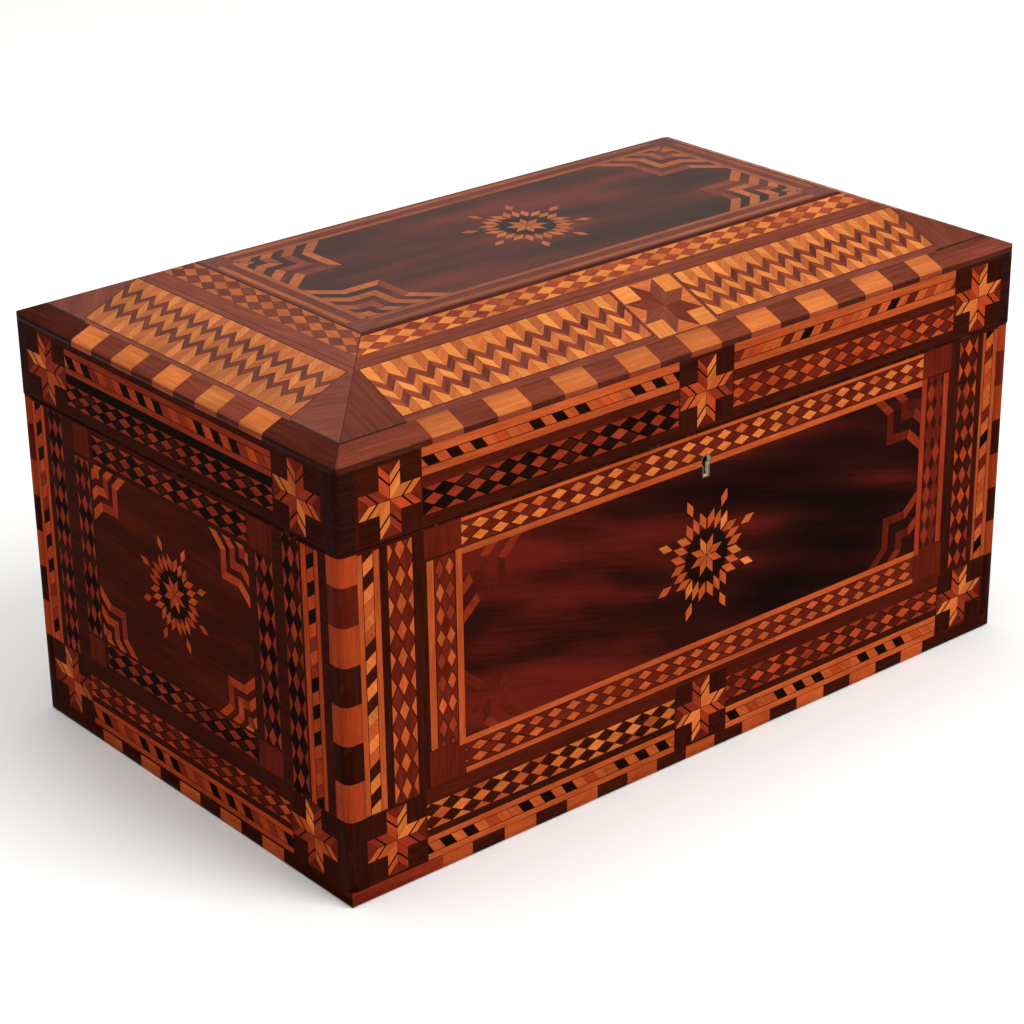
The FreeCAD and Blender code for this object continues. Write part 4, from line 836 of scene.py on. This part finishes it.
def long_patterns(is_front):
    """The patterns of the front or the back: body, lid side and slope."""
    lid_lines = (4.8, 14.5, 18.7, 21.7, 25.1, LID_VENEER_TOP - RIM)
    spans = (Span((34.4, 147.4), (RED_NET, 8.98, 4.5), 0, ROPE, False),
             Span((173.8, 288.8), (LID_WARM_NET, 8.70, 2.1), 5, DIM_ROPE, True))
    body = long_face(is_front)
    lid = lid_face(WIDTH, lid_lines, "amber", "umber", FRONT_STAR, (21.2, 160.6, 302.4), spans)
    slope = slope_face(WIDTH, ((36.0, 145.2), (175.8, 288.0)), LONG_CHEVRONS, star_at=160.4,
                       heights=(12.2, 36.5, 42.3, 50.2), net=(SLOPE_NET, 8.8, 1.1),
                       hip_grain=90.0, hip_tint=-0.6, line_tint=0.2)
    if not is_front:
        hinge_notches(lid, (0.0, LEAF))
    return body, lid, slope


def end_patterns():
    """The patterns of an end: body, lid side and slope."""
    lid_lines = (5.0, 13.1, 17.0, 19.4, 23.6, 26.1)
    spans = (Span((33.0, 157.2), (RED_NET, 8.66, 2.4), 2, END_ROPE, False),)
    body = end_face()
    lid = lid_face(DEPTH, lid_lines, "red", "black", END_STAR, (20.0, 170.6), spans)
    slope = slope_face(DEPTH, ((33.0, 155.8),), END_CHEVRONS, star_at=None,
                       heights=(10.9, 35.2, 42.4, 51.2), net=(END_SLOPE_NET, 9.26, 4.8),
                       hip_grain=-40.0, hip_tint=0.4, line_tint=0.85)
    return body, lid, slope


# Building the pieces.

def cut_up(mosaic):
    """The pattern as flat faces that share corners; each face belongs to the topmost tile over it."""
    faces_without_holes, closeness = 3, 0.0005
    points, loops = [], []
    for tile in mosaic.tiles:
        loops.append(list(range(len(points), len(points) + len(tile.outline))))
        points += [Vector((round(x, 3), round(y, 3))) for x, y in tile.outline]
    cut = delaunay_2d_cdt(points, [], loops, faces_without_holes, closeness, True)
    corners, faces, owners_of = cut[0], cut[2], cut[5]
    return corners, [(face, max(owners)) for face, owners in zip(faces, owners_of) if owners]


class Piece:
    """Mesh data with the layers that the woods read."""

    def __init__(self, woods):
        self.data = bmesh.new()
        self.kinds = list(woods)
        self.grain = self.data.loops.layers.uv.new("grain")
        self.tint = self.data.faces.layers.float.new("tint")
        self.wear = self.data.faces.layers.float.new("wear")

    def face(self, corners, kind, worn=0.0):
        made = self.data.faces.new(corners)
        made.material_index = self.kinds.index(kind)
        made[self.wear] = worn
        return made


def in_scene(name, data):
    """A new object in the scene."""
    made = bpy.data.objects.new(name, data)
    bpy.context.scene.collection.objects.link(made)
    return made


def new_piece(name, data, materials, body):
    """An object from closed mesh data, riding on a body of the frame."""
    bmesh.ops.recalc_face_normals(data, faces=data.faces[:])
    mesh = bpy.data.meshes.new(name)
    data.to_mesh(mesh)
    data.free()
    for material in materials:
        mesh.materials.append(material)
    made = in_scene(name, mesh)
    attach(made, body)
    return made


def slab(name, mosaic, place, depths, edge_wood, body, woods):
    """A closed sheet of veneer: the pattern outside, a worn shoulder round its edge and a plain back."""
    piece = Piece(woods)
    data = piece.data
    surface, shoulder, back = depths
    rubbed = 0.5
    flat_points, faces = cut_up(mosaic)
    corners = [data.verts.new(place(p, surface) * MM) for p in flat_points]
    flat_of = dict(zip(corners, flat_points))
    for face, owner in faces:
        tile = mosaic.tiles[owner]
        if tile.kind == "hole":
            continue
        made = piece.face([corners[i] for i in face], tile.kind)
        made[piece.tint] = tile.tint
        c, s = math.cos(tile.grain), math.sin(tile.grain)
        for loop, index in zip(made.loops, face):
            x, y = flat_points[index]
            along, across = (x * c + y * s) / 10, (y * c - x * s) / 10
            loop[piece.grain].uv = (along + tile.shift[0], across + tile.shift[1])
    rim = [edge for edge in data.edges if len(edge.link_faces) == 1]
    middle_ring, back_ring = {}, {}
    for edge in rim:
        for corner in edge.verts:
            if corner not in middle_ring:
                middle_ring[corner] = data.verts.new(place(flat_of[corner], shoulder) * MM)
                back_ring[corner] = data.verts.new(place(flat_of[corner], back) * MM)
    back_edges = []
    for edge in rim:
        a, b = edge.verts
        piece.face([a, b, middle_ring[b], middle_ring[a]], edge_wood, rubbed)
        piece.face([middle_ring[a], middle_ring[b], back_ring[b], back_ring[a]], "dark")
        back_edges.append(data.edges.get((back_ring[a], back_ring[b])))
    filled = bmesh.ops.triangle_fill(data, edges=back_edges, use_beauty=True, use_dissolve=False)
    for item in filled["geom"]:
        if isinstance(item, bmesh.types.BMFace):
            item.material_index = piece.kinds.index("dark")
    for corner in [v for v in data.verts if not v.link_faces]:
        data.verts.remove(corner)
    return new_piece(name, data, woods.values(), body)


# Each side: its lower left corner as seen from outside, the way along it, the way in, and its length.
HALF_X, HALF_Y = WIDTH / 2, DEPTH / 2
SIDES = {
    "front": (Vector((-HALF_X, -HALF_Y, 0)), Vector((1, 0, 0)), Vector((0, 1, 0)), WIDTH),
    "right": (Vector((HALF_X, -HALF_Y, 0)), Vector((0, 1, 0)), Vector((-1, 0, 0)), DEPTH),
    "back": (Vector((HALF_X, HALF_Y, 0)), Vector((-1, 0, 0)), Vector((0, -1, 0)), WIDTH),
    "left": (Vector((-HALF_X, HALF_Y, 0)), Vector((0, -1, 0)), Vector((1, 0, 0)), DEPTH),
}


def on_side(side, u, inner, z):
    """A point given along a side, in from its face and up from the floor."""
    origin, along, inward, _ = SIDES[side]
    return origin + along * u + inward * inner + UP * z


def upright_slab(name, side, mosaic, base, joint, body):
    """A veneer on an upright side, with its edge eased at the height where the lid and the body meet."""
    close = 0.01
    ease = SHOULDER if joint == 0 else -SHOULDER
    # The lid veneer's shoulder is black as painted shadow along the joint under the lid; the body's shoulder
    # is dark.
    edge_wood = "black" if joint == 0 else "dark"

    def place(p, depth):
        eased = depth == 0.0 and abs(p[1] - joint) < close
        return on_side(side, p[0], depth, base + p[1]) + UP * (ease if eased else 0.0)

    return slab(name, mosaic, place, (0.0, SHOULDER, VENEER), edge_wood, body, SIDE_WOODS)


def slope_slab(name, side, mosaic, body, woods):
    """A veneer on a slope, mitred to its neighbours."""
    length = SIDES[side][3]
    deep_foot = EDGE_RUN + VENEER * SLOPE_SIN
    squeeze = (INSET - deep_foot) / (INSET - EDGE_RUN)
    at_mitre = 0.02
    depth_shares = (0.0, 0.3, 1.0)

    def place(p, share):
        in_plan = p[1] * SLOPE_COS
        deepest = deep_foot + (in_plan - EDGE_RUN) * squeeze
        now = in_plan + (deepest - in_plan) * share
        u = p[0]
        if abs(u - in_plan) < at_mitre:
            u = now
        elif abs(length - u - in_plan) < at_mitre:
            u = length - now
        fall = VENEER / SLOPE_COS * share
        return on_side(side, u, now, ARRIS + now * SLOPE_TAN - fall)

    return slab(name, mosaic, place, depth_shares, "brown", body, woods)


def top_slab(name, mosaic, body):
    """The veneer on the flat top of the lid."""
    depths = (0.0, 0.3, VENEER)

    def place(p, depth):
        return Vector((p[0] - TOP_WIDTH / 2, p[1] - TOP_DEPTH / 2, TOP - depth))

    return slab(name, mosaic, place, depths, "brown", body, TOP_WOODS)


# The finish of a bar of blocks: its worn strips, their wear, a tint, and strips given darker woods as painted
# shade.
Polish = namedtuple("Polish", "worn wear tint shaded shaded_woods", defaults=((), 0.0, 0.0, (), None))


def swept(name, rings, kinds, grains, polish, body, woods):
    """A closed bar of blocks: rings of points, the wood of each length and two ways to measure its grain."""
    piece = Piece(woods)
    data = piece.data
    made = [[data.verts.new(point * MM) for point in ring] for ring in rings]
    count = len(rings[0])
    spread, close = 0.35, 1e-7

    def paint(face, shade, shift):
        face[piece.tint] = shade
        for loop in face.loops:
            place = loop.vert.co / MM
            loop[piece.grain].uv = (place.dot(grains[0]) / 10 + shift, place.dot(grains[1]) / 10 + shift)

    for kind, low, high in zip(kinds, made, made[1:]):
        shade = polish.tint + spread * either_way()
        shift = dice.random() * LARGEST_SHIFT
        for k in range(count):
            after = (k + 1) % count
            corners = [low[k], low[after], high[after], high[k]]
            strip_kind = polish.shaded_woods[kind] if k in polish.shaded else kind
            face = piece.face(corners, strip_kind, polish.wear if k in polish.worn else 0.0)
            face.smooth = True
            paint(face, shade, shift)
    paint(piece.face(made[0][::-1], kinds[0]), 0.0, 0.0)
    paint(piece.face(made[-1], kinds[-1]), 0.0, 0.0)
    bmesh.ops.remove_doubles(data, verts=data.verts[:], dist=close)
    return new_piece(name, data, woods.values(), body)


ROUND_STEPS = 6
CORNER_STEPS = 4
ROUNDED = range(2, ROUND_STEPS)
STICK_POLISH = Polish(ROUNDED, 0.14, -0.45)
BASE_POLISH = Polish()
# The upright face and lower rounding of the lid's edge banding take darker woods as painted shade under the
# arris.
EDGE_PAINTED_SHADE_WOODS = {"light": "red", "brown": "dark", "dark": "black"}
EDGE_POLISH = Polish(ROUNDED, 0.2, 0.15, (0, 1, 2), EDGE_PAINTED_SHADE_WOODS)


def corner_stick(name, x_side, y_side):
    """A rounded corner banding of blocks, light and dark by turns."""
    first_joint, pitch = 32.0, 14.35
    heights = [PLINTH] + [first_joint + pitch * k for k in range(7)] + [RIM - SHOULDER, RIM]
    kinds = ["dark", "rust", "dark", "rust", "dark", "rust", "mahogany", "rust", "mahogany"]
    section = [(0.0, STICK)]
    for k in range(ROUND_STEPS + 1):
        angle = math.radians(90 * k / ROUND_STEPS)
        section.append((STICK_ROUND * (1 - math.cos(angle)), STICK_ROUND * (1 - math.sin(angle))))
    section += [(STICK, 0.0), (STICK, STICK)]
    rings = []
    for height in heights:
        eased = SHOULDER if height == RIM else 0.0
        ring = []
        for u, v in section:
            u, v = max(u, eased), max(v, eased)
            ring.append(Vector((x_side * (HALF_X - u), y_side * (HALF_Y - v), height)))
        rings.append(ring)
    grains = (UP, Vector((0.7, -0.7 * x_side * y_side, 0)))
    return swept(name, rings, kinds, grains, STICK_POLISH, "case", SIDE_WOODS)


def mitred_bar(name, side, section, edges, kinds, rounds, polish, body, woods):
    """A bar of blocks along one side, mitred at its ends; rounds are the radii of its two corners in plan."""
    _, along, inward, length = SIDES[side]

    def ring(u, radius, from_start):
        bend = radius - math.sqrt(radius ** 2 - max(radius - u, 0) ** 2)
        points = []
        for inner, z in section:
            inner = max(inner, bend)
            place = max(u, inner)
            points.append(on_side(side, place if from_start else length - place, inner, z))
        return points

    def corner_rings(radius, from_start):
        mitre = radius * (1 - math.sqrt(0.5))
        steps = CORNER_STEPS if radius else 0
        places = [mitre + (radius - mitre) * k / max(steps, 1) for k in range(steps + 1)]
        return [ring(u, radius, from_start) for u in places]

    start, end = corner_rings(rounds[0], True), corner_rings(rounds[1], False)
    middle = [[on_side(side, u, inner, z) for inner, z in section] for u in edges]
    woods_along = [kinds[0]] * (len(start) - 1) + list(kinds) + [kinds[-1]] * (len(end) - 1)
    grains = (along + inward * 0.02, inward + UP * 0.5)
    return swept(name, start + middle + end[::-1], woods_along, grains, polish, body, woods)


def edge_section():
    """The banding on the lid's upper edge, from the upright side over the rounded arris to the slope."""
    turn = math.pi / 2 - math.atan(SLOPE_TAN)
    setback = EDGE_ROUND * math.tan(turn / 2)
    section = [(0.0, LID_VENEER_TOP)]
    for k in range(ROUND_STEPS + 1):
        angle = math.pi - turn * k / ROUND_STEPS
        section.append((EDGE_ROUND * (1 + math.cos(angle)), ARRIS - setback + EDGE_ROUND * math.sin(angle)))
    inner_edge = (EDGE_RUN + EDGE_THICK * SLOPE_SIN, EDGE_TOP - EDGE_THICK * SLOPE_COS)
    return section + [(EDGE_RUN, EDGE_TOP), inner_edge, (STICK, LID_VENEER_TOP)]


# The radii at both ends of a base banding: it is sharp at the front left corner only.
BASE_ROUNDS = {side: [STICK_ROUND, STICK_ROUND] for side in SIDES}
BASE_ROUNDS["front"][0] = 0.0
BASE_ROUNDS["left"][1] = 0.0
EASED = 0.3
BASE_SECTION = [(EASED, 0.0), (0.0, EASED), (0.0, PLINTH), (STICK, PLINTH), (STICK, 0.0)]

# Joints between the blocks of the base and edge bandings.
LONG_PITCH, END_PITCH = 14.45, 12.7
LONG_BLOCKS = [39.0] + [52.0 + LONG_PITCH * k for k in range(16)] + [281.0]
END_BLOCKS = [38.6 + END_PITCH * k for k in range(10)]


def block_woods(edges, pale, deep, first, last):
    return [first] + [(pale, deep)[k % 2] for k in range(len(edges) - 1)] + [last]


def dress_side(side):
    """All the veneers and bandings of one side, by the node that they replace."""
    is_long = side in ("front", "back")
    edges = LONG_BLOCKS if is_long else END_BLOCKS
    body_face, lid_pattern, slope_pattern = long_patterns(side == "front") if is_long else end_patterns()
    base_woods = block_woods(edges, "amber", "dark", "red" if is_long else "dark", "dark")
    lid_end = "brown" if is_long else "dark"
    lid_woods = block_woods(edges, "light", "brown", lid_end, lid_end)
    base_rounds, lid_rounds = BASE_ROUNDS[side], [LID_CORNER_ROUND] * 2
    # The left slope has kept more of its polish.
    slope_woods = TOP_WOODS if side == "left" else SLOPE_WOODS
    return {
        "body_veneers": upright_slab(f"{side}_parquetry", side, body_face, 0.0, RIM, "case"),
        "base_banding": mitred_bar(f"{side}_base_banding", side, BASE_SECTION, edges, base_woods, base_rounds,
                                   BASE_POLISH, "case", SIDE_WOODS),
        "lid_side_veneers": upright_slab(f"lid_{side}_parquetry", side, lid_pattern, RIM, 0.0, "lid"),
        "lid_slope_veneers": slope_slab(f"lid_{side}_slope", side, slope_pattern, "lid", slope_woods),
        "lid_edge_banding": mitred_bar(f"lid_{side}_edge", side, edge_section(), edges, lid_woods, lid_rounds,
                                       EDGE_POLISH, "lid", EDGE_WOODS),
    }


def stand_for(piece, node):
    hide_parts(node)


for side in SIDES:
    for node, piece in dress_side(side).items():
        stand_for(piece, node)
for x_name, x_side in (("left", -1), ("right", 1)):
    for y_name, y_side in (("front", -1), ("back", 1)):
        stick = corner_stick(f"banding_{x_name}_{y_name}", x_side, y_side)
        stand_for(stick, "corner_bandings")
stand_for(top_slab("lid_top_parquetry", top_face(), "lid"), "lid_top_veneer")


# Pins on the cylinder, in one ring of places for each tooth of the comb.

def cylinder_pins():
    low, high = box_mm("cylinder")
    axis = (low + high) / 2
    radius = (high.z - low.z) / 2
    teeth, first_tooth, tooth_pitch, pins_each = 52, -37.0, 2.0, 12
    half, sunk, length = 0.22, 0.2, 0.9
    data = bmesh.new()
    for tooth in range(teeth):
        for _ in range(pins_each):
            angle = dice.random() * 2 * math.pi
            out = Vector((0, math.cos(angle), math.sin(angle)))
            sideways = Vector((0, -math.sin(angle), math.cos(angle)))
            foot = Vector((first_tooth + tooth_pitch * tooth, axis.y, axis.z)) + out * (radius - sunk)
            corners = rectangle(*square(0, 0, half))
            base = [data.verts.new((foot + Vector((a, 0, 0)) + sideways * b) * MM) for a, b in corners]
            tip = data.verts.new((foot + out * length) * MM)
            data.faces.new(base)
            for k in range(4):
                data.faces.new([base[k], base[(k + 1) % 4], tip])
    pins = new_piece("cylinder_pins", data, [FINISHES["steel"]], "tune_cylinder")


cylinder_pins()

# Finishes of the CAD pieces.
for entry in frame["record"]["subparts"]:
    node = frame["nodes"][entry["node"]]
    node.data.materials.clear()
    node.data.materials.append(FINISHES[entry["material_slot"]])
liner = frame["nodes"]["escutcheon"]
liner.data.materials.clear()
liner.data.materials.append(keyhole_brass_painted_light("liner_brass", LINER_LOW.y * MM))


# Pale floor, soft studio light and the photo's camera, in metres.

def pale_floor(reach=6.0, below=-0.0003):
    mesh = bpy.data.meshes.new("floor")
    corners = [(x, y, below) for x, y in rectangle(*square(0, 0, reach))]
    mesh.from_pydata(corners, [], [(0, 1, 2, 3)])
    mesh.materials.append(Look("floor").finish({"Base Color": (0.9, 0.9, 0.89, 1.0), "Roughness": 0.8}))
    floor = in_scene("floor", mesh)


def area_light(name, place, size, power):
    """A square lamp that points at the casket."""
    data = bpy.data.lights.new(name, "AREA")
    data.size = size
    data.energy = power
    light = in_scene(name, data)
    light.location = place
    aim = Vector((0, 0, 0.1)) - Vector(place)
    light.rotation_euler = aim.to_track_quat("-Z", "Y").to_euler()


def studio_world(strength):
    world = bpy.data.worlds.new("studio")
    bpy.context.scene.world = world
    world.use_nodes = True
    background = world.node_tree.nodes["Background"]
    background.inputs["Color"].default_value = (1.0, 0.97, 0.93, 1.0)
    background.inputs["Strength"].default_value = strength


def photo_camera():
    data = bpy.data.cameras.new("photo")
    data.sensor_width = 36.0
    data.lens = 97.56
    eye = (-0.6272, -0.7394, 0.5019)
    tilt, roll, heading = 65.738, 0.713, -40.218
    turn = Euler([math.radians(angle) for angle in (tilt, roll, heading)]).to_matrix()
    camera = in_scene("photo", data)
    camera.matrix_world = Matrix.Translation(eye) @ turn.to_4x4()
    bpy.context.scene.camera = camera


pale_floor()
area_light("key", (1.1, -2.5, 3.1), 2.2, 120)
area_light("overhead", (-0.2, 0.4, 4.2), 3.6, 132)
studio_world(0.25)
photo_camera()
bpy.context.scene.view_settings.view_transform = "Standard"
